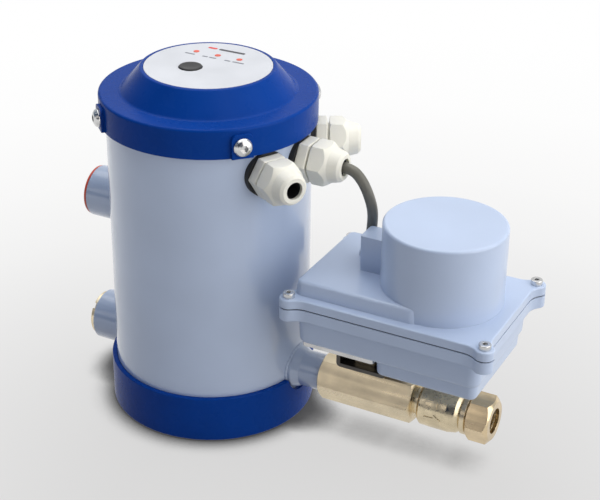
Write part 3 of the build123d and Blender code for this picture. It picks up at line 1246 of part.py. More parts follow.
def spindle_drive():
    with BuildPart() as coupling:
        with BuildSketch(Plane.XY.offset(COUPLING_Z)):
            with Locations((SPINDLE_X, 0)):
                Circle(COUPLING_R)
                Circle(STEM_R, mode=Mode.SUBTRACT)
        extrude(amount=COUPLING_H)
        with BuildSketch(Plane.XY.offset(STEM_TOP_Z)):
            with Locations((SPINDLE_X, 0)):
                Circle(SHAFT_R)
        extrude(amount=COUPLING_H, mode=Mode.SUBTRACT)
    write(coupling, "drive_coupling")

    with BuildPart() as shaft:
        with BuildSketch(Plane.XY.offset(STEM_TOP_Z)):
            with Locations((SPINDLE_X, 0)):
                Circle(SHAFT_R)
        extrude(amount=SHAFT_TOP_Z - STEM_TOP_Z)
        chamfer(shaft.edges().group_by(Axis.Z)[-1], 0.6)
    write(shaft, "output_shaft")

    with BuildPart() as sector:
        hub_plane = Plane(origin=(SPINDLE_X, 0, GEAR_Z), x_dir=(1, 0, 0), z_dir=(0, 0, 1))
        first = SECTOR_REST - 360 / SECTOR_FULL_TEETH * (SECTOR_TEETH - 1) / 2
        with BuildSketch(hub_plane):
            gear_teeth(SECTOR_FULL_TEETH, SECTOR_TEETH, first)
            Circle(SECTOR_HUB_R)
            Circle(SHAFT_R, mode=Mode.SUBTRACT)
            with PolarLocations(SECTOR_HUB_R + 11, 3, start_angle=SECTOR_REST - 40, angular_range=80,
                                endpoint=True):
                Circle(5.5, mode=Mode.SUBTRACT)
        extrude(amount=GEAR_WIDTH)
        with BuildSketch(hub_plane.offset(GEAR_WIDTH)):
            Circle(SECTOR_HUB_R)
            Circle(SHAFT_R, mode=Mode.SUBTRACT)
        extrude(amount=2)
    write(sector, "sector_gear")

    with BuildPart() as cams:
        for z, turn in ((CAM_Z, 0), (CAM_Z + CAM_THICK + 1, 90)):
            with BuildSketch(Plane(origin=(SPINDLE_X, 0, z), x_dir=(1, 0, 0), z_dir=(0, 0, 1))):
                Circle(CAM_R)
                with PolarLocations(CAM_R - 3, 1, start_angle=turn):
                    Circle(CAM_LOBE_R)
                Circle(SHAFT_R, mode=Mode.SUBTRACT)
            extrude(amount=CAM_THICK)
    write(cams, "limit_cams")


def pillar_places():
    columns = (ACT_X - PILLAR_HALF_X, ACT_X + PILLAR_HALF_X)
    return Locations(*[(x, y) for x in columns for y in (-PILLAR_Y, PILLAR_Y)])


def gear_case():
    spindle = Plane(origin=(SPINDLE_X, 0, 0), x_dir=(1, 0, 0), z_dir=(0, 0, 1))
    with BuildPart() as bushes:
        for z, thick in ((HOUSING_BOTTOM_Z, HOUSING_WALL), (PLATFORM_Z, PLATFORM_THICK)):
            spin(spindle, [
                (z, SHAFT_R + RUNNING),
                (z, BUSH_R),
                (z + thick, BUSH_R),
                (z + thick, BUSH_R + 2),
                (z + thick + BUSH_FLANGE, BUSH_R + 2),
                (z + thick + BUSH_FLANGE, SHAFT_R + RUNNING),
            ])
    write(bushes, "shaft_bushes")

    with BuildPart() as platform:
        with BuildSketch(act_plane(PLATFORM_Z)):
            RectangleRounded(2 * PLATFORM_HALF_X, 2 * PLATFORM_HALF_Y, 4)
        extrude(amount=PLATFORM_THICK)
        with BuildSketch(Plane.XY.offset(PLATFORM_Z)):
            with Locations((SPINDLE_X, 0)):
                Circle(BUSH_R)
            with Locations((MOTOR_X, 0)):
                Circle(MOTOR_SPIGOT_R)
            with pillar_places():
                Circle(PILLAR_SCREW_R)
        extrude(amount=PLATFORM_THICK, mode=Mode.SUBTRACT)
        with BuildSketch(Plane.XY.offset(PLATFORM_Z + PLATFORM_THICK)):
            with Locations((SWITCH_X, 0)):
                Rectangle(SWITCH_WIDTH, SWITCH_DEPTH)
        extrude(amount=CAM_Z - PART_GAP - PLATFORM_Z - PLATFORM_THICK)
    write(platform, "gear_platform")

    with BuildPart() as switches:
        for z in (CAM_Z, CAM_Z + CAM_THICK + 1):
            with BuildSketch(Plane.XY.offset(z - PART_GAP)):
                with Locations((SWITCH_X, 0)):
                    RectangleRounded(SWITCH_WIDTH, SWITCH_DEPTH, 0.6)
            extrude(amount=CAM_THICK + 2 * PART_GAP)
            with BuildSketch(Plane.XY.offset(z + CAM_THICK / 2 - 1)):
                with Locations((SWITCH_X + SWITCH_WIDTH / 2 + 0.7, 0)):
                    Rectangle(1.4, 3)
            extrude(amount=2)
    write(switches, "limit_switches")


def motor():
    seat_z = PLATFORM_Z + PLATFORM_THICK
    spindle = Plane(origin=(MOTOR_X, 0, 0), x_dir=(1, 0, 0), z_dir=(0, 0, 1))
    with BuildPart() as can:
        spin(spindle, [
            (seat_z, SHAFT_SMALL_R + RUNNING),
            (seat_z, MOTOR_R),
            (seat_z + MOTOR_LENGTH - 2, MOTOR_R),
            (seat_z + MOTOR_LENGTH, MOTOR_R - 2),
            (seat_z + MOTOR_LENGTH, 0),
            (seat_z + MOTOR_LENGTH - MOTOR_WALL, 0),
            (seat_z + MOTOR_LENGTH - MOTOR_WALL, MOTOR_R - MOTOR_WALL),
            (seat_z + MOTOR_WALL, MOTOR_R - MOTOR_WALL),
            (seat_z + MOTOR_WALL, SHAFT_SMALL_R + RUNNING),
        ])
    write(can, "motor_can")

    with BuildPart() as rotor:
        with BuildSketch(Plane.XY.offset(seat_z + MOTOR_WALL + 1)):
            with Locations((MOTOR_X, 0)):
                Circle(ROTOR_R)
        extrude(amount=ROTOR_LENGTH)
        with BuildSketch(Plane.XY.offset(GEAR_Z - 1)):
            with Locations((MOTOR_X, 0)):
                Circle(SHAFT_SMALL_R)
        extrude(amount=seat_z + MOTOR_WALL + ROTOR_LENGTH + 4 - GEAR_Z)
    write(rotor, "motor_rotor")

    with BuildPart() as pinion:
        with BuildSketch(Plane(origin=(MOTOR_X, 0, GEAR_Z - 0.5), x_dir=(1, 0, 0), z_dir=(0, 0, 1))):
            gear_teeth(PINION_TEETH, PINION_TEETH, 0)
            Circle(SHAFT_SMALL_R, mode=Mode.SUBTRACT)
        extrude(amount=GEAR_WIDTH + 1)
    write(pinion, "motor_pinion")


# ---------------------------------------------------------------- check valve and compression outlet
def outlet_fitting():
    axis = along_x(0, OUTLET_Z)
    spigot_x = SPINDLE_X + BALL_R + SEAT_BACK + RETAINER_LENGTH
    seat_x = BARREL_START_X + 2.5
    with BuildPart() as body:
        spin(axis, [
            (spigot_x, VALVE_BORE_R),
            (spigot_x, VALVE_THREAD_R),
            (VALVE_END_X, VALVE_THREAD_R),
            (VALVE_END_X, NECK_R),
            (BARREL_START_X, NECK_R),
            (BARREL_START_X, BARREL_R - 1.6),
            (BARREL_START_X + 1.6, BARREL_R - 0.2),
            (BARREL_START_X + 8, BARREL_R),
            (BARREL_END_X - 8, BARREL_R),
            (BARREL_END_X - 3, BARREL_R - 1.0),
            (BARREL_END_X, BARREL_R - 3.2),
            (BARREL_END_X, BARREL_BORE_R),
            (seat_x, BARREL_BORE_R),
            (seat_x, VALVE_BORE_R),
        ])
    write(body, "check_valve_body")

    poppet_x = seat_x + PART_GAP
    guide_x = BARREL_END_X - ADAPTER_DEPTH - GUIDE_THICK
    with BuildPart() as poppet:
        spin(axis, [
            (poppet_x, 0),
            (poppet_x, BARREL_BORE_R - 1.6),
            (poppet_x + POPPET_THICK, BARREL_BORE_R - 1.6),
            (poppet_x + POPPET_THICK, POPPET_STEM_R),
            (guide_x + GUIDE_THICK + 2, POPPET_STEM_R),
            (guide_x + GUIDE_THICK + 2, 0),
        ])
    write(poppet, "check_poppet")

    spring_start = poppet_x + POPPET_THICK + PART_GAP
    spring_length = guide_x - spring_start - PART_GAP
    with BuildPart() as spring:
        with BuildLine() as coil_line:
            Helix(pitch=(spring_length - 2 * SPRING_WIRE_R) / SPRING_TURNS,
                  height=spring_length - 2 * SPRING_WIRE_R, radius=SPRING_R,
                  center=(spring_start + SPRING_WIRE_R, 0, OUTLET_Z), direction=(1, 0, 0))
        with BuildSketch(Plane(origin=coil_line.line @ 0, z_dir=coil_line.line % 0)):
            Circle(SPRING_WIRE_R)
        sweep(is_frenet=True)
    write(spring, "poppet_spring")

    with BuildPart() as adapter:
        spin(axis, [
            (BARREL_END_X - ADAPTER_DEPTH, ADAPTER_BORE_R),
            (BARREL_END_X - ADAPTER_DEPTH, BARREL_BORE_R),
            (BARREL_END_X, BARREL_BORE_R),
            (BARREL_END_X, COLLAR_R - 0.6),
            (BARREL_END_X + 0.6, COLLAR_R),
            (NUT_START_X - PART_GAP - 0.6, COLLAR_R),
            (NUT_START_X - PART_GAP, COLLAR_R - 0.6),
            (NUT_START_X - PART_GAP, ADAPTER_THREAD_R),
            (ADAPTER_END_X, ADAPTER_THREAD_R),
            (ADAPTER_END_X, PIPE_R),
            (ADAPTER_END_X - PIPE_STOP, PIPE_R),
            (ADAPTER_END_X - PIPE_STOP, ADAPTER_BORE_R),
        ])
        with BuildSketch(along_x(guide_x, OUTLET_Z)):
            Circle(BARREL_BORE_R)
            Circle(POPPET_STEM_R + RUNNING, mode=Mode.SUBTRACT)
            with PolarLocations(BARREL_BORE_R * 0.6, 4, start_angle=45):
                Circle(BARREL_BORE_R * 0.22, mode=Mode.SUBTRACT)
        extrude(amount=GUIDE_THICK)
    write(adapter, "outlet_adapter")

    nut_end = NUT_START_X + NUT_LENGTH
    with BuildPart() as ring:
        spin(axis, [
            (ADAPTER_END_X + RUNNING, PIPE_R + PIPE_SLACK),
            (ADAPTER_END_X + RUNNING, ADAPTER_THREAD_R - 0.8),
            (ADAPTER_END_X + RING_LENGTH / 2, ADAPTER_THREAD_R - 0.8),
            (ADAPTER_END_X + RING_LENGTH, PIPE_R + 2 * PIPE_SLACK),
            (ADAPTER_END_X + RING_LENGTH, PIPE_R + PIPE_SLACK),
        ])
    write(ring, "cutting_ring")

    with BuildPart() as nut:
        with BuildSketch(along_x(NUT_START_X, OUTLET_Z)):
            RegularPolygon(NUT_AF / 2, 6, major_radius=False)
        extrude(amount=NUT_LENGTH)
        spin(axis, [
            (NUT_START_X, 0),
            (NUT_START_X, NUT_AF / 2 - 0.6),
            (NUT_START_X + 1.6, NUT_AF / 2 * HEX + 0.1),
            (nut_end - 2.6, NUT_AF / 2 * HEX + 0.1),
            (nut_end, NUT_AF / 2 - 1.2),
            (nut_end, 0),
        ], Mode.INTERSECT)
        spin(axis, [
            (NUT_START_X - 1, 0),
            (NUT_START_X - 1, ADAPTER_THREAD_R + PART_GAP),
            (ADAPTER_END_X + RING_LENGTH / 2 + PART_GAP, ADAPTER_THREAD_R + PART_GAP),
            (ADAPTER_END_X + RING_LENGTH + PART_GAP, PIPE_R + PIPE_SLACK),
            (nut_end + 1, PIPE_R + PIPE_SLACK),
            (nut_end + 1, 0),
        ], Mode.SUBTRACT)
    write(nut, "outlet_nut")


# ---------------------------------------------------------------- screws inside and underneath
def hidden_screws():
    with BuildPart() as screws:
        for angle in BASE_SCREW_ANGLES:
            spin(base_screw_plane(angle), [
                (PART_GAP + 1.6, 0),
                (PART_GAP + 1.6, BASE_DRIVE_R),
                (PART_GAP, BASE_DRIVE_R),
                (PART_GAP, BASE_HEAD_R),
                (CUP_FLOOR, BASE_SCREW_R),
                (CUP_FLOOR + BASE_SCREW_LENGTH - 1, BASE_SCREW_R),
                (CUP_FLOOR + BASE_SCREW_LENGTH - 1, 0),
            ])
        for radius, height in ((BRACKET_SCREW_HEAD_R, -BRACKET_SCREW_HEAD_H),
                               (BRACKET_SCREW_R, BRACKET_SCREW_LENGTH)):
            with BuildSketch(Plane.XY.offset(PLATE_Z - BRACKET_WALL)):
                with Locations((SPINDLE_X, 0)):
                    with GridLocations(2 * BRACKET_SCREW_X, 2 * BRACKET_SCREW_Y, 2, 2):
                        Circle(radius)
            extrude(amount=height)
        for radius, height in ((PILLAR_SCREW_R * 2, 1.8), (PILLAR_SCREW_R, -PLATFORM_THICK - 8)):
            with BuildSketch(Plane.XY.offset(PLATFORM_Z + PLATFORM_THICK)):
                with pillar_places():
                    Circle(radius)
            extrude(amount=height)
    write(screws, "hidden_screws")


# ---------------------------------------------------------------- cable from the tank to the actuator
def actuator_cable():
    """Round cable: straight runs joined by arcs as large as the runs beside them allow."""
    route = [Vector(*point) for point in CABLE_ROUTE]
    radii = []
    for before, corner, after in zip(route, route[1:], route[2:]):
        inward = corner - before
        outward = after - corner
        half_turn = radians(inward.get_angle(outward)) / 2
        radii.append(0.45 * min(inward.length, outward.length) / tan(half_turn))
    print("cable radii", [round(r, 1) for r in radii])
    with BuildPart() as cable:
        with BuildLine() as path:
            FilletPolyline(*route, radius=radii)
        with BuildSketch(Plane(origin=path.line @ 0, z_dir=path.line % 0)):
            Circle(CABLE_R)
        sweep()
    print("cable length", round(sum(edge.length for edge in path.edges()), 1),
          "volume over section", round(cable.part.volume / (pi * CABLE_R ** 2), 1))
    write(cable, "actuator_cable")


tank()
base_cup()
top_cap()
cap_screws()
electronics()
inlet_fittings()
gland_groups()
ball_valve()
bracket()
actuator_housing()
spindle_drive()
gear_case()
motor()
outlet_fitting()
hidden_screws()
actuator_cable()
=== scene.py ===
import json
from math import cos, pi, radians, sin, sqrt

import bmesh
import bpy
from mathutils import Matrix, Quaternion, Vector


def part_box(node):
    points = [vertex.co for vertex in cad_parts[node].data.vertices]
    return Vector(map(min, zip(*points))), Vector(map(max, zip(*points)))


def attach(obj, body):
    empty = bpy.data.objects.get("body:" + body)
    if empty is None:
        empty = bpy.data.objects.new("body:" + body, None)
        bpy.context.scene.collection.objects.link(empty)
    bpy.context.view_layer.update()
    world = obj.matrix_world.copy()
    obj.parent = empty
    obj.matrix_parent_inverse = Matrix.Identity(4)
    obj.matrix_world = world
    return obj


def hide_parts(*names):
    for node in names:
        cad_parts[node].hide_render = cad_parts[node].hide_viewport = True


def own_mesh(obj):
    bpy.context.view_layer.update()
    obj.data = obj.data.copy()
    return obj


# Looks of the automatic drain valve. Metres, in the frame of the CAD model.

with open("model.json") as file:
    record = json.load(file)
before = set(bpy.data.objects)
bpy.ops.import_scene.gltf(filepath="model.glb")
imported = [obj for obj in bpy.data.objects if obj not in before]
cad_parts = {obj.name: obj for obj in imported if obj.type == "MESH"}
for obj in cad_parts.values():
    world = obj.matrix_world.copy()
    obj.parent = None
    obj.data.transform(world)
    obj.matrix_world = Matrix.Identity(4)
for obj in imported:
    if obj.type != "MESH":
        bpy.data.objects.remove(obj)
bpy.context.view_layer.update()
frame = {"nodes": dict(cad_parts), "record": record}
CAD = frame["nodes"]
scene = bpy.context.scene
scene.view_settings.view_transform = "Standard"

MM = 0.001
HOUSING = "housing"

# ---------------------------------------------------------------- camera
AIM = Vector((0.0629, 0.0, 0.1164))
AZIMUTH = 27.2
ELEVATION = 27.48
DISTANCE = 0.9157
ROLL = 0.72
LENS = 89.86


def add_camera():
    """Camera at the photograph's viewing angle."""
    camera = bpy.data.objects.new("camera", bpy.data.cameras.new("camera"))
    scene.collection.objects.link(camera)
    camera.data.lens = LENS
    camera.data.sensor_width = 36.0
    camera.data.clip_start = 0.01
    level = radians(ELEVATION)
    turn = radians(AZIMUTH)
    towards = Vector((sin(turn) * cos(level), -cos(turn) * cos(level), sin(level)))
    camera.location = AIM + DISTANCE * towards
    roll = Quaternion((0, 0, 1), radians(ROLL))
    camera.rotation_mode = "QUATERNION"
    camera.rotation_quaternion = towards.to_track_quat("Z", "Y") @ roll
    scene.camera = camera


add_camera()

# ---------------------------------------------------------------- the cable
CABLE_DIAMETER = 0.0065
CABLE_ROUTE = (
    (0.0895, 0.0, 0.178),
    (0.0965, 0.0, 0.178),
    (0.1025, 0.0005, 0.1725),
    (0.1058, 0.003, 0.1635),
    (0.1072, 0.0075, 0.1515),
    (0.1052, 0.0125, 0.1395),
    (0.104, 0.013, 0.129),
)


def add_cable():
    """One smooth line through the route, from the middle gland into the actuator's grommet."""
    curve = bpy.data.curves.new("control_cable", "CURVE")
    curve.dimensions = "3D"
    curve.resolution_u = 16
    curve.bevel_depth = 1.0
    curve.bevel_resolution = 8
    line = curve.splines.new("NURBS")
    line.points.add(len(CABLE_ROUTE) - 1)
    for point, place in zip(line.points, CABLE_ROUTE):
        point.co = (*place, 1.0)
        # the radius is set here, not by the bevel, because Blender adds it to the curve's box
        point.radius = CABLE_DIAMETER / 2
    line.order_u = 3
    line.use_endpoint_u = True
    cable = bpy.data.objects.new("control_cable", curve)
    scene.collection.objects.link(cable)
    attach(cable, HOUSING)
    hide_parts("actuator_cable")
    return cable


cable = add_cable()


# ---------------------------------------------------------------- material tools
def colour_ramp(nodes, links, factor, stops):
    """Colour socket of a ramp with (position, colour) stops along a factor."""
    made = nodes.new("ShaderNodeValToRGB")
    band = made.color_ramp
    while len(band.elements) < len(stops):
        band.elements.new(0.5)
    for element, (position, colour) in zip(band.elements, stops):
        element.position = position
        element.color = (*colour, 1.0)
    links.new(factor, made.inputs["Fac"])
    return made.outputs["Color"]


class Surface:
    """A principled material and the few node patterns that the finishes below share."""

    def __init__(self, name, colour, roughness, metallic=0.0):
        self.material = bpy.data.materials.new(name)
        self.material.use_nodes = True
        self.tree = self.material.node_tree
        self.shader = self.tree.nodes["Principled BSDF"]
        self.material.diffuse_color = (*colour, 1.0)
        self.set("Base Color", (*colour, 1.0))
        self.set("Roughness", roughness)
        self.set("Metallic", metallic)
        self.colour = colour
        self.normal = None
        self.place = self.node("ShaderNodeTexCoord").outputs["Object"]

    def node(self, kind, **settings):
        made = self.tree.nodes.new(kind)
        for key, value in settings.items():
            setattr(made, key, value)
        return made

    def link(self, source, target):
        self.tree.links.new(source, target)

    def set(self, socket, value):
        self.shader.inputs[socket].default_value = value

    def mapped(self, scale):
        """Object coordinates stretched by a factor along each axis."""
        mapping = self.node("ShaderNodeMapping")
        mapping.inputs["Scale"].default_value = scale
        self.link(self.place, mapping.inputs["Vector"])
        return mapping.outputs["Vector"]

    def noise(self, scale, detail=3.0, stretch=(1, 1, 1), rough=0.5):
        made = self.node("ShaderNodeTexNoise")
        made.inputs["Scale"].default_value = scale
        made.inputs["Detail"].default_value = detail
        made.inputs["Roughness"].default_value = rough
        self.link(self.mapped(stretch), made.inputs["Vector"])
        return made.outputs["Fac"]

    def ramp(self, factor, stops):
        return colour_ramp(self.tree.nodes, self.tree.links, factor, stops)

    def spread(self, factor, low, high):
        """A factor mapped from its middle range onto low to high."""
        made = self.node("ShaderNodeMapRange")
        made.inputs["From Min"].default_value = 0.3
        made.inputs["From Max"].default_value = 0.7
        made.inputs["To Min"].default_value = low
        made.inputs["To Max"].default_value = high
        self.link(factor, made.inputs["Value"])
        return made.outputs["Result"]

    def tint(self, factor, dark, light):
        """Base colour varied by a factor between two multiples of itself."""
        low = tuple(min(1.0, c * dark) for c in self.colour)
        high = tuple(min(1.0, c * light) for c in self.colour)
        self.link(self.ramp(factor, ((0.3, low), (0.7, high))), self.shader.inputs["Base Color"])

    def vary_roughness(self, factor, low, high):
        self.link(self.spread(factor, low, high), self.shader.inputs["Roughness"])

    def bump(self, height, distance, strength=1.0):
        made = self.node("ShaderNodeBump")
        made.inputs["Strength"].default_value = strength
        made.inputs["Distance"].default_value = distance
        self.link(height, made.inputs["Height"])
        if self.normal is not None:
            self.link(self.normal, made.inputs["Normal"])
        self.normal = made.outputs["Normal"]
        self.link(self.normal, self.shader.inputs["Normal"])

    def soften_edges(self, radius):
        """Rounds how sharp edges catch the light. It goes before any bump."""
        made = self.node("ShaderNodeBevel", samples=6)
        made.inputs["Radius"].default_value = radius
        self.normal = made.outputs["Normal"]
        self.link(self.normal, self.shader.inputs["Normal"])


# ---------------------------------------------------------------- finishes
def enamel(name, colour, roughness, texture, coat, coat_roughness):
    """Sprayed enamel: faint orange peel and a slow drift of tone."""
    made = Surface(name, colour, roughness)
    made.soften_edges(0.0006)
    made.tint(made.noise(18.0, 2.0), 0.96, 1.04)
    made.vary_roughness(made.noise(45.0, 3.0), roughness - 0.04, roughness + 0.05)
    made.bump(made.noise(420.0, 2.0), 0.00006, texture)
    made.set("Coat Weight", coat)
    made.set("Coat Roughness", coat_roughness)
    return made.material


def moulding(name, colour, roughness, grain, gloss=0.5):
    """Injection-moulded plastic: even colour, fine spark-eroded grain."""
    made = Surface(name, colour, roughness)
    made.set("Specular IOR Level", gloss)
    made.soften_edges(0.0004)
    made.tint(made.noise(30.0, 2.0), 0.94, 1.06)
    made.vary_roughness(made.noise(90.0, 4.0), roughness - 0.04, roughness + 0.05)
    made.bump(made.noise(1500.0, 2.0), 0.00003, grain)
    return made.material


def translucent_moulding(name, colour, roughness):
    """Pale polyamide that lets a little light into its edges."""
    made = Surface(name, colour, roughness)
    made.soften_edges(0.0005)
    made.tint(made.noise(60.0, 3.0), 0.95, 1.03)
    made.vary_roughness(made.noise(140.0, 3.0), roughness - 0.05, roughness + 0.06)
    made.bump(made.noise(900.0, 2.0), 0.00004, 0.5)
    made.set("Subsurface Weight", 0.12)
    made.set("Subsurface Radius", (0.003, 0.0028, 0.0022))
    made.set("Subsurface Scale", 0.5)
    return made.material


def rubber(name, colour):
    """Matt moulded rubber with a fine, uneven skin."""
    made = Surface(name, colour, 0.6)
    made.tint(made.noise(200.0, 4.0), 0.7, 1.4)
    made.bump(made.noise(1100.0, 3.0), 0.00004, 0.6)
    return made.material


def machined(name, colour, roughness, along, streak=0.08):
    """Metal bar with drawing or turning lines that run round or along one axis."""
    made = Surface(name, colour, roughness, 1.0)
    made.soften_edges(0.00035)
    made.tint(made.noise(90.0, 5.0), 0.86, 1.08)
    made.vary_roughness(made.noise(260.0, 5.0, along), roughness - streak, roughness + streak)
    made.bump(made.noise(900.0, 3.0, along), 0.00003, 0.55)
    return made.material


def cast_metal(name, colour, roughness):
    """Pressed or cast brass: soft hollows and a sandy skin."""
    made = Surface(name, colour, roughness, 1.0)
    made.soften_edges(0.0006)
    made.tint(made.noise(120.0, 5.0), 0.8, 1.1)
    made.vary_roughness(made.noise(300.0, 4.0), roughness - 0.08, roughness + 0.12)
    made.bump(made.noise(160.0, 3.0), 0.00035, 0.5)
    made.bump(made.noise(1300.0, 3.0), 0.00006, 0.5)
    return made.material


def woven_jacket(name, colour):
    """Cable jacket over twisted cores, whose lay shows as faint slanting ridges."""
    made = Surface(name, colour, 0.42)
    wave = made.node("ShaderNodeTexWave", wave_type="BANDS", bands_direction="DIAGONAL")
    wave.inputs["Scale"].default_value = 95.0
    wave.inputs["Distortion"].default_value = 1.5
    made.link(made.mapped((1.0, 1.0, 0.6)), wave.inputs["Vector"])
    made.tint(made.noise(150.0, 3.0), 0.9, 1.08)
    made.bump(wave.outputs["Fac"], 0.00022, 0.5)
    return made.material


BLUE_GREY = (0.48, 0.575, 0.755)
DEEP_BLUE = (0.002, 0.046, 0.285)
PALE_BRASS = (0.82, 0.70, 0.49)
CAST_BRASS = (0.84, 0.72, 0.50)
NUT_BRASS = (0.80, 0.64, 0.41)
STEEL = (0.66, 0.66, 0.66)
ALONG_X = (0.06, 1.0, 1.0)
ALONG_Y = (1.0, 0.06, 1.0)
ALONG_Z = (1.0, 1.0, 0.06)

FINISHES = {
    "tank_paint": enamel("tank_enamel", BLUE_GREY, 0.32, 0.3, 1.0, 0.05),
    "housing_plastic": enamel("housing_enamel", BLUE_GREY, 0.38, 0.5, 0.5, 0.1),
    "blue_plastic": moulding("deep_blue_moulding", DEEP_BLUE, 0.27, 0.35, 0.06),
    "label_white": moulding("label_film", (0.665, 0.68, 0.715), 0.5, 0.2, 0.3),
    "gland_ivory": translucent_moulding("ivory_polyamide", (0.85, 0.835, 0.745), 0.36),
    "black_rubber": rubber("black_rubber", (0.012, 0.012, 0.013)),
    "black_plastic": moulding("black_moulding", (0.012, 0.012, 0.013), 0.38, 0.5),
    "switch_black": moulding("switch_moulding", (0.03, 0.03, 0.035), 0.4, 0.5),
    "red_plastic": moulding("red_moulding", (0.80, 0.10, 0.045), 0.3, 0.2),
    "brass": machined("drawn_brass", PALE_BRASS, 0.3, ALONG_X),
    "stainless": machined("stainless", STEEL, 0.24, ALONG_Z),
    "steel": machined("plated_steel", (0.52, 0.53, 0.54), 0.3, ALONG_Z),
    "aluminium": machined("aluminium", (0.74, 0.75, 0.76), 0.35, ALONG_Y),
    "ptfe": translucent_moulding("white_ptfe", (0.86, 0.86, 0.84), 0.5),
    "acetal": translucent_moulding("white_acetal", (0.82, 0.82, 0.78), 0.4),
    "board_green": moulding("board_laminate", (0.01, 0.16, 0.06), 0.35, 0.8),
    "green_terminal": moulding("terminal_moulding", (0.03, 0.30, 0.09), 0.4, 0.5),
    "cable_grey": woven_jacket("cable_jacket", (0.15, 0.145, 0.12)),
}
CAST = cast_metal("cast_brass", CAST_BRASS, 0.27)
TURNED_NUT = machined("nut_brass", NUT_BRASS, 0.2, ALONG_X)
DARK_STEEL = machined("dark_steel", (0.10, 0.095, 0.09), 0.42, ALONG_X)


def dress(piece, material):
    piece.data.materials.clear()
    piece.data.materials.append(material)


def dress_cad():
    for entry in frame["record"]["subparts"]:
        dress(CAD[entry["node"]], FINISHES[entry["material_slot"]])
    dress(CAD["check_valve_body"], CAST)
    dress(CAD["outlet_nut"], TURNED_NUT)
    dress(CAD["valve_bracket"], DARK_STEEL)
    dress(cable, FINISHES["cable_grey"])


dress_cad()


# ---------------------------------------------------------------- pieces added to the CAD
def add_piece(name, mesh, body, material):
    made = bpy.data.objects.new(name, mesh)
    scene.collection.objects.link(made)
    dress(made, material)
    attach(made, body)
    return made


def rounded_bar(shape, centre, size, height, corner=0.882, steps=4):
    """Adds to a bmesh a thin rectangle lying on z = centre.z. Its corners are rounded by the
    share corner of its half width."""
    half_x, half_y = size[0] / 2, size[1] / 2
    radius = corner * min(half_x, half_y)
    ring = []
    for quarter in range(4):
        sign_x = 1 if quarter in (0, 3) else -1
        sign_y = 1 if quarter in (0, 1) else -1
        for step in range(steps + 1):
            angle = (quarter + step / steps) * pi / 2
            x = centre[0] + sign_x * (half_x - radius) + radius * cos(angle)
            y = centre[1] + sign_y * (half_y - radius) + radius * sin(angle)
            ring.append(shape.verts.new((x, y, centre[2])))
    face = shape.faces.new(ring)
    lifted = bmesh.ops.extrude_face_region(shape, geom=[face])
    top = [v for v in lifted["geom"] if isinstance(v, bmesh.types.BMVert)]
    bmesh.ops.translate(shape, verts=top, vec=(0, 0, height))


def label_marks():
    """Plain printed marks on the cap's label: bars at the lamps, and two where a name would be."""
    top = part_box("label_plate")[1].z
    print_height = 0.00004
    rows = {
        "lamp_marks": ("black_plastic", (0.22, 0.23, 0.27), (
            (-20.0, 11.9, 7.0, 1.5), (-9.4, 11.9, 3.8, 1.5), (-4.0, 11.9, 4.8, 1.5),
            (6.2, 11.9, 4.2, 1.5), (13.6, 11.9, 8.0, 1.5),
        )),
        "red_mark": ("red_plastic", (0.74, 0.06, 0.05), ((-12.5, 26.8, 6.2, 2.4),)),
        "dark_mark": ("black_plastic", (0.05, 0.05, 0.06), ((1.0, 26.8, 18.0, 2.4),)),
    }
    for name, (slot, colour, bars) in rows.items():
        shape = bmesh.new()
        for x, y, width, depth in bars:
            rounded_bar(shape, (x * MM, y * MM, top), (width * MM, depth * MM), print_height)
        mesh = bpy.data.meshes.new(name)
        shape.to_mesh(mesh)
        shape.free()
        add_piece(name, mesh, HOUSING, moulding(name + "_ink", colour, 0.45, 0.2))


label_marks()


def finish_mesh(name, shape, smooth=True):
    """A mesh datablock from a bmesh, with its faces turned outward."""
    bmesh.ops.recalc_face_normals(shape, faces=shape.faces)
    for face in shape.faces:
        face.smooth = smooth
    mesh = bpy.data.meshes.new(name)
    shape.to_mesh(mesh)
    shape.free()
    return mesh


def join_rings(shape, rings, closed):
    """Skin over rings of vertices in a row: closed to a loop, or capped at both ends."""
    pairs = list(zip(rings, rings[1:]))
    if closed:
        pairs.append((rings[-1], rings[0]))
    else:
        shape.faces.new(rings[0])
        shape.faces.new(rings[-1])
    for first, second in pairs:
        for step in range(len(first)):
            following = (step + 1) % len(first)
            shape.faces.new((first[step], first[following], second[following], second[step]))


def weld_bead(name, side, height, radius, lowest):
    """Rippled bead where a pipe of this radius meets the round tank. side is -1 or 1 along X;
    the bead stops where it would go below lowest."""
    tank_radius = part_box("housing_tube")[1].y
    thickness = 0.0011
    ripples, ripple_depth = 34, 0.13
    turns, sides = 204, 10
    angles = [2 * pi * step / turns - pi / 2 for step in range(turns)]
    shown = [angle for angle in angles if height + radius * sin(angle) > lowest]
    shape = bmesh.new()
    rings = []
    for angle in shown:
        y = radius * cos(angle)
        z = height + radius * sin(angle)
        x = side * sqrt(tank_radius ** 2 - y ** 2)
        swell = thickness * (1 + ripple_depth * sin(ripples * angle))
        ring = []
        for step in range(sides):
            around = 2 * pi * step / sides
            out = swell * cos(around)
            ring.append(shape.verts.new((x + side * swell * sin(around),
                                         y + out * cos(angle), z + out * sin(angle))))
        rings.append(ring)
    join_rings(shape, rings, len(shown) == turns)
    add_piece(name, finish_mesh(name, shape), HOUSING, FINISHES["tank_paint"])


def weld_beads():
    """Beads round both sockets and the outlet stub, painted over with the tank."""
    socket_radius = 0.0165
    low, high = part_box("port_sockets")
    cup_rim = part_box("base_cup")[1].z
    weld_bead("upper_socket_bead", -1, high.z - socket_radius, socket_radius, cup_rim)
    weld_bead("lower_socket_bead", -1, low.z + socket_radius, socket_radius, cup_rim)
    low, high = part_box("outlet_stub")
    weld_bead("stub_bead", 1, (low.z + high.z) / 2, (high.z - low.z) / 2, cup_rim)


weld_beads()


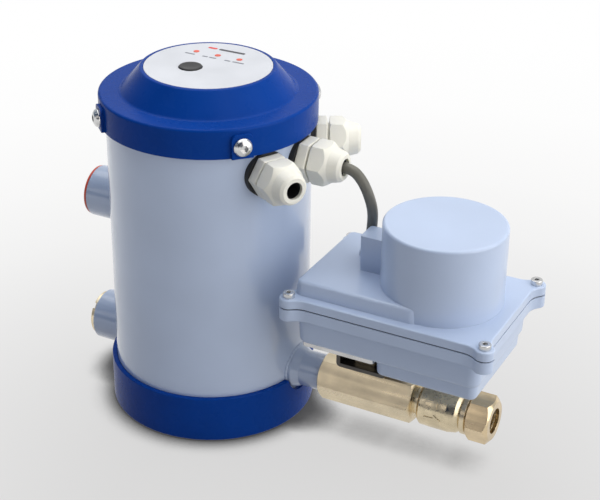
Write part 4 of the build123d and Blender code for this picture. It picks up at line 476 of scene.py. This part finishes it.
def wrapped_relief(shape, rows, axis_height, radius, turn, rise):
    """Raised shape on a cylinder along X: rows of (arc, start x, end x), all in metres."""
    depth = 0.0002
    edges = []
    for arc, start, end in rows:
        angle = radians(turn) + arc / radius
        made = []
        for reach in (radius - depth, radius + rise):
            y = -reach * cos(angle)
            z = axis_height + reach * sin(angle)
            made.append((shape.verts.new((start, y, z)), shape.verts.new((end, y, z))))
        edges.append(made)
    for (foot, top), (next_foot, next_top) in zip(edges, edges[1:]):
        shape.faces.new((top[0], top[1], next_top[1], next_top[0]))
        shape.faces.new((foot[0], foot[1], next_foot[1], next_foot[0]))
        shape.faces.new((foot[0], top[0], next_top[0], next_foot[0]))
        shape.faces.new((foot[1], top[1], next_top[1], next_foot[1]))
    for foot, top in (edges[0], edges[-1]):
        shape.faces.new((foot[0], foot[1], top[1], top[0]))


def barrel_marks():
    """Cast marks on the check valve: an arrow along the flow and a plain pad."""
    barrel_radius = 0.0142
    rise = 0.00045
    low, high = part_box("check_valve_body")
    axis_height = (low.z + high.z) / 2
    tail = high.x - 0.0215
    head = tail + 0.0062
    tip = head + 0.0046
    half_shaft, half_head = 0.0009, 0.0031
    slope = (tip - head) / half_head
    blunt = 0.98            # keeps the barbs from ending in a knife edge
    arrow_turn, pad_turn = -6, 30    # degrees up from the front
    rows = []
    steps = 8
    for step in range(-steps, steps + 1):
        arc = half_head * step / steps
        on_shaft = abs(arc) < half_shaft
        rows.append((arc, tail if on_shaft else head, tip - slope * abs(arc) * blunt))
    shape = bmesh.new()
    wrapped_relief(shape, rows, axis_height, barrel_radius, arrow_turn, rise)
    half_pad, pad_steps = 0.0017, 4
    pad_start, pad_end = tail - 0.0003, tail + 0.0075
    pad = [(half_pad * step / pad_steps, pad_start, pad_end)
           for step in range(-pad_steps, pad_steps + 1)]
    wrapped_relief(shape, pad, axis_height, barrel_radius, pad_turn, rise)
    mesh = finish_mesh("flow_arrow", shape, smooth=False)
    add_piece("flow_arrow", mesh, HOUSING, CAST)


barrel_marks()


def poppet_coil():
    """The check valve's spring, as a wire coil that fills the CAD spring's box."""
    low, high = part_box("poppet_spring")
    wire = 0.0004
    turns, steps, sides = 4, 28, 8
    coil_radius = (high.z - low.z) / 2 - wire
    axis_height = (low.z + high.z) / 2
    length = high.x - low.x
    rise = (length - 2 * wire) / (turns * steps)
    shape = bmesh.new()
    rings = []
    for step in range(turns * steps + 1):
        angle = 2 * pi * step / steps
        ring = []
        for side in range(sides):
            around = 2 * pi * side / sides
            reach = coil_radius + wire * cos(around)
            ring.append(shape.verts.new((low.x + wire + rise * step + wire * sin(around),
                                         reach * cos(angle), axis_height + reach * sin(angle))))
        rings.append(ring)
    join_rings(shape, rings, False)
    coil = add_piece("poppet_coil", finish_mesh("poppet_coil", shape), HOUSING,
                     FINISHES["stainless"])
    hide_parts("poppet_spring")
    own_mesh(coil)


poppet_coil()


# ---------------------------------------------------------------- floor and light
FLOOR_SHADE = (0.45, 0.455, 0.465)
FLOOR_CENTRE = (0.125, -0.10, 0.0)
# (distance in metres, brightness): the floor rises into a white sweep
FLOOR_SWEEP = (
    (0.12, 0.762), (0.20, 0.80), (0.31, 0.86), (0.40, 0.915), (0.66, 0.985), (0.85, 1.0),
)
# (distance in metres, share of that sweep over the lit floor)
SWEEP_SHARE = ((0.15, 0.84), (0.50, 1.0))
FLOOR_RADIUS = 12.0
FLOOR_DROP = 0.0002        # keeps the floor clear of the base's underside
CONTACT_DISTANCE = 0.03    # how far from the object the floor's painted contact shadow reaches
# (share of open space within that distance above the floor, brightness): a painted contact shadow from
# an ambient occlusion node, not cast by the lamps
PAINTED_CONTACT_SHADE = ((0.52, 0.08), (0.62, 0.36), (0.70, 0.72), (0.77, 0.94), (0.83, 1.0))


def greys(stops, warmth=0.0):
    """Ramp stops of greys, which turn warmer as they get darker."""
    return [(position, (level, level ** (1 + warmth), level ** (1 + 2 * warmth)))
            for position, level in stops]


def seen_directly(nodes, links):
    """1 for camera, glossy and transmission rays, 0 for the rays that carry diffuse light."""
    path = nodes.new("ShaderNodeLightPath")
    total = path.outputs["Is Camera Ray"]
    for other in ("Is Glossy Ray", "Is Transmission Ray"):
        larger = nodes.new("ShaderNodeMath")
        larger.operation = "MAXIMUM"
        links.new(total, larger.inputs[0])
        links.new(path.outputs[other], larger.inputs[1])
        total = larger.outputs[0]
    return total


def add_floor():
    """Pale floor that rises into a white sweep. What the camera and reflections see of it near the
    object is mostly that sweep, emitted by the floor, over a share of the real shadow. For the camera
    the sweep is darkened at contacts by a painted shadow; reflections see it without that painted
    shadow."""
    mesh = bpy.data.meshes.new("floor")
    shape = bmesh.new()
    bmesh.ops.create_circle(shape, cap_ends=True, radius=FLOOR_RADIUS, segments=96)
    shape.to_mesh(mesh)
    shape.free()
    floor = bpy.data.objects.new("floor", mesh)
    floor.location.z = -FLOOR_DROP
    scene.collection.objects.link(floor)
    made = Surface("floor_paint", FLOOR_SHADE, 0.8)
    made.set("Specular IOR Level", 0.1)
    away = made.node("ShaderNodeVectorMath", operation="DISTANCE")
    away.inputs[1].default_value = FLOOR_CENTRE
    made.link(made.place, away.inputs[0])
    amount = made.node("ShaderNodeMath", operation="MULTIPLY")
    made.link(made.ramp(away.outputs["Value"], greys(SWEEP_SHARE)), amount.inputs[0])
    made.link(seen_directly(made.tree.nodes, made.tree.links), amount.inputs[1])
    # painted contact shadow: ambient occlusion darkens the floor near the object, except in reflections
    openness = made.node("ShaderNodeAmbientOcclusion", samples=16)
    openness.inputs["Distance"].default_value = CONTACT_DISTANCE
    contact = made.node("ShaderNodeMath", operation="MAXIMUM")
    made.link(made.ramp(openness.outputs["AO"], greys(PAINTED_CONTACT_SHADE)), contact.inputs[0])
    path = made.node("ShaderNodeLightPath")
    made.link(path.outputs["Is Glossy Ray"], contact.inputs[1])
    shade = made.node("ShaderNodeMix", data_type="RGBA", blend_type="MULTIPLY")
    shade.inputs["Factor"].default_value = 1.0
    made.link(made.ramp(away.outputs["Value"], greys(FLOOR_SWEEP, 0.03)), shade.inputs["A"])
    made.link(contact.outputs[0], shade.inputs["B"])
    backdrop = made.node("ShaderNodeEmission")
    made.link(shade.outputs["Result"], backdrop.inputs["Color"])
    mix = made.node("ShaderNodeMixShader")
    made.link(amount.outputs[0], mix.inputs["Fac"])
    made.link(made.shader.outputs["BSDF"], mix.inputs[1])
    made.link(backdrop.outputs["Emission"], mix.inputs[2])
    made.link(mix.outputs["Shader"], made.tree.nodes["Material Output"].inputs["Surface"])
    floor.data.materials.append(made.material)


def add_area(name, place, size, level, colour):
    """Rectangular softbox that faces the object; level is the brightness of its face, white being 1."""
    lamp = bpy.data.lights.new(name, "AREA")
    lamp.shape = "RECTANGLE"
    lamp.size, lamp.size_y = size
    lamp.energy = level * pi * size[0] * size[1]
    lamp.color = colour
    holder = bpy.data.objects.new(name, lamp)
    scene.collection.objects.link(holder)
    holder.location = place
    towards = Vector(place) - AIM
    holder.rotation_euler = towards.to_track_quat("Z", "Y").to_euler()


# towards the back of the studio; about half a unit long, so that its dot product with a
# direction runs from about -0.5 to 0.5
STUDIO_AXIS = (-0.1, 0.5, 0.12)
STUDIO_MIDDLE = 0.5
# brightness by direction, from the photographer's side (0) to behind the object (1)
STUDIO_RAMP = (
    (0.12, (0.01, 0.02, 0.05)),
    (0.38, (0.045, 0.075, 0.135)),
    (0.55, (0.18, 0.24, 0.33)),
    (0.80, (0.62, 0.66, 0.70)),
    (1.00, (0.78, 0.78, 0.78)),
)


def add_world():
    """A studio that is dark where the photographer stands and white behind the object."""
    world = bpy.data.worlds.new("studio")
    scene.world = world
    world.use_nodes = True
    nodes, links = world.node_tree.nodes, world.node_tree.links
    nodes.clear()
    out = nodes.new("ShaderNodeOutputWorld")
    direction = nodes.new("ShaderNodeTexCoord")
    along = nodes.new("ShaderNodeVectorMath")
    along.operation = "DOT_PRODUCT"
    along.inputs[1].default_value = STUDIO_AXIS
    links.new(direction.outputs["Generated"], along.inputs[0])
    centred = nodes.new("ShaderNodeMath")
    centred.operation = "ADD"
    centred.inputs[1].default_value = STUDIO_MIDDLE
    links.new(along.outputs["Value"], centred.inputs[0])
    studio = nodes.new("ShaderNodeBackground")
    brightness = colour_ramp(nodes, links, centred.outputs[0], STUDIO_RAMP)
    links.new(brightness, studio.inputs["Color"])
    white = nodes.new("ShaderNodeBackground")
    path = nodes.new("ShaderNodeLightPath")
    mix = nodes.new("ShaderNodeMixShader")
    links.new(path.outputs["Is Camera Ray"], mix.inputs["Fac"])
    links.new(studio.outputs["Background"], mix.inputs[1])
    links.new(white.outputs["Background"], mix.inputs[2])
    links.new(mix.outputs["Shader"], out.inputs["Surface"])


# lamp colours
WARM = (1.0, 0.95, 0.89)
SOFT_WARM = (1.0, 0.975, 0.94)
add_floor()
add_area("top_softbox", (0.05, 0.15, 1.35), (1.8, 1.6), 1.6, SOFT_WARM)
add_area("right_softbox", (1.2, -0.10, 0.50), (1.5, 1.4), 2.1, WARM)
add_area("front_card", (-0.39, -0.95, 0.58), (0.6, 0.5), 0.85, WARM)
add_world()

# ---------------------------------------------------------------- hand over
bpy.context.view_layer.update()
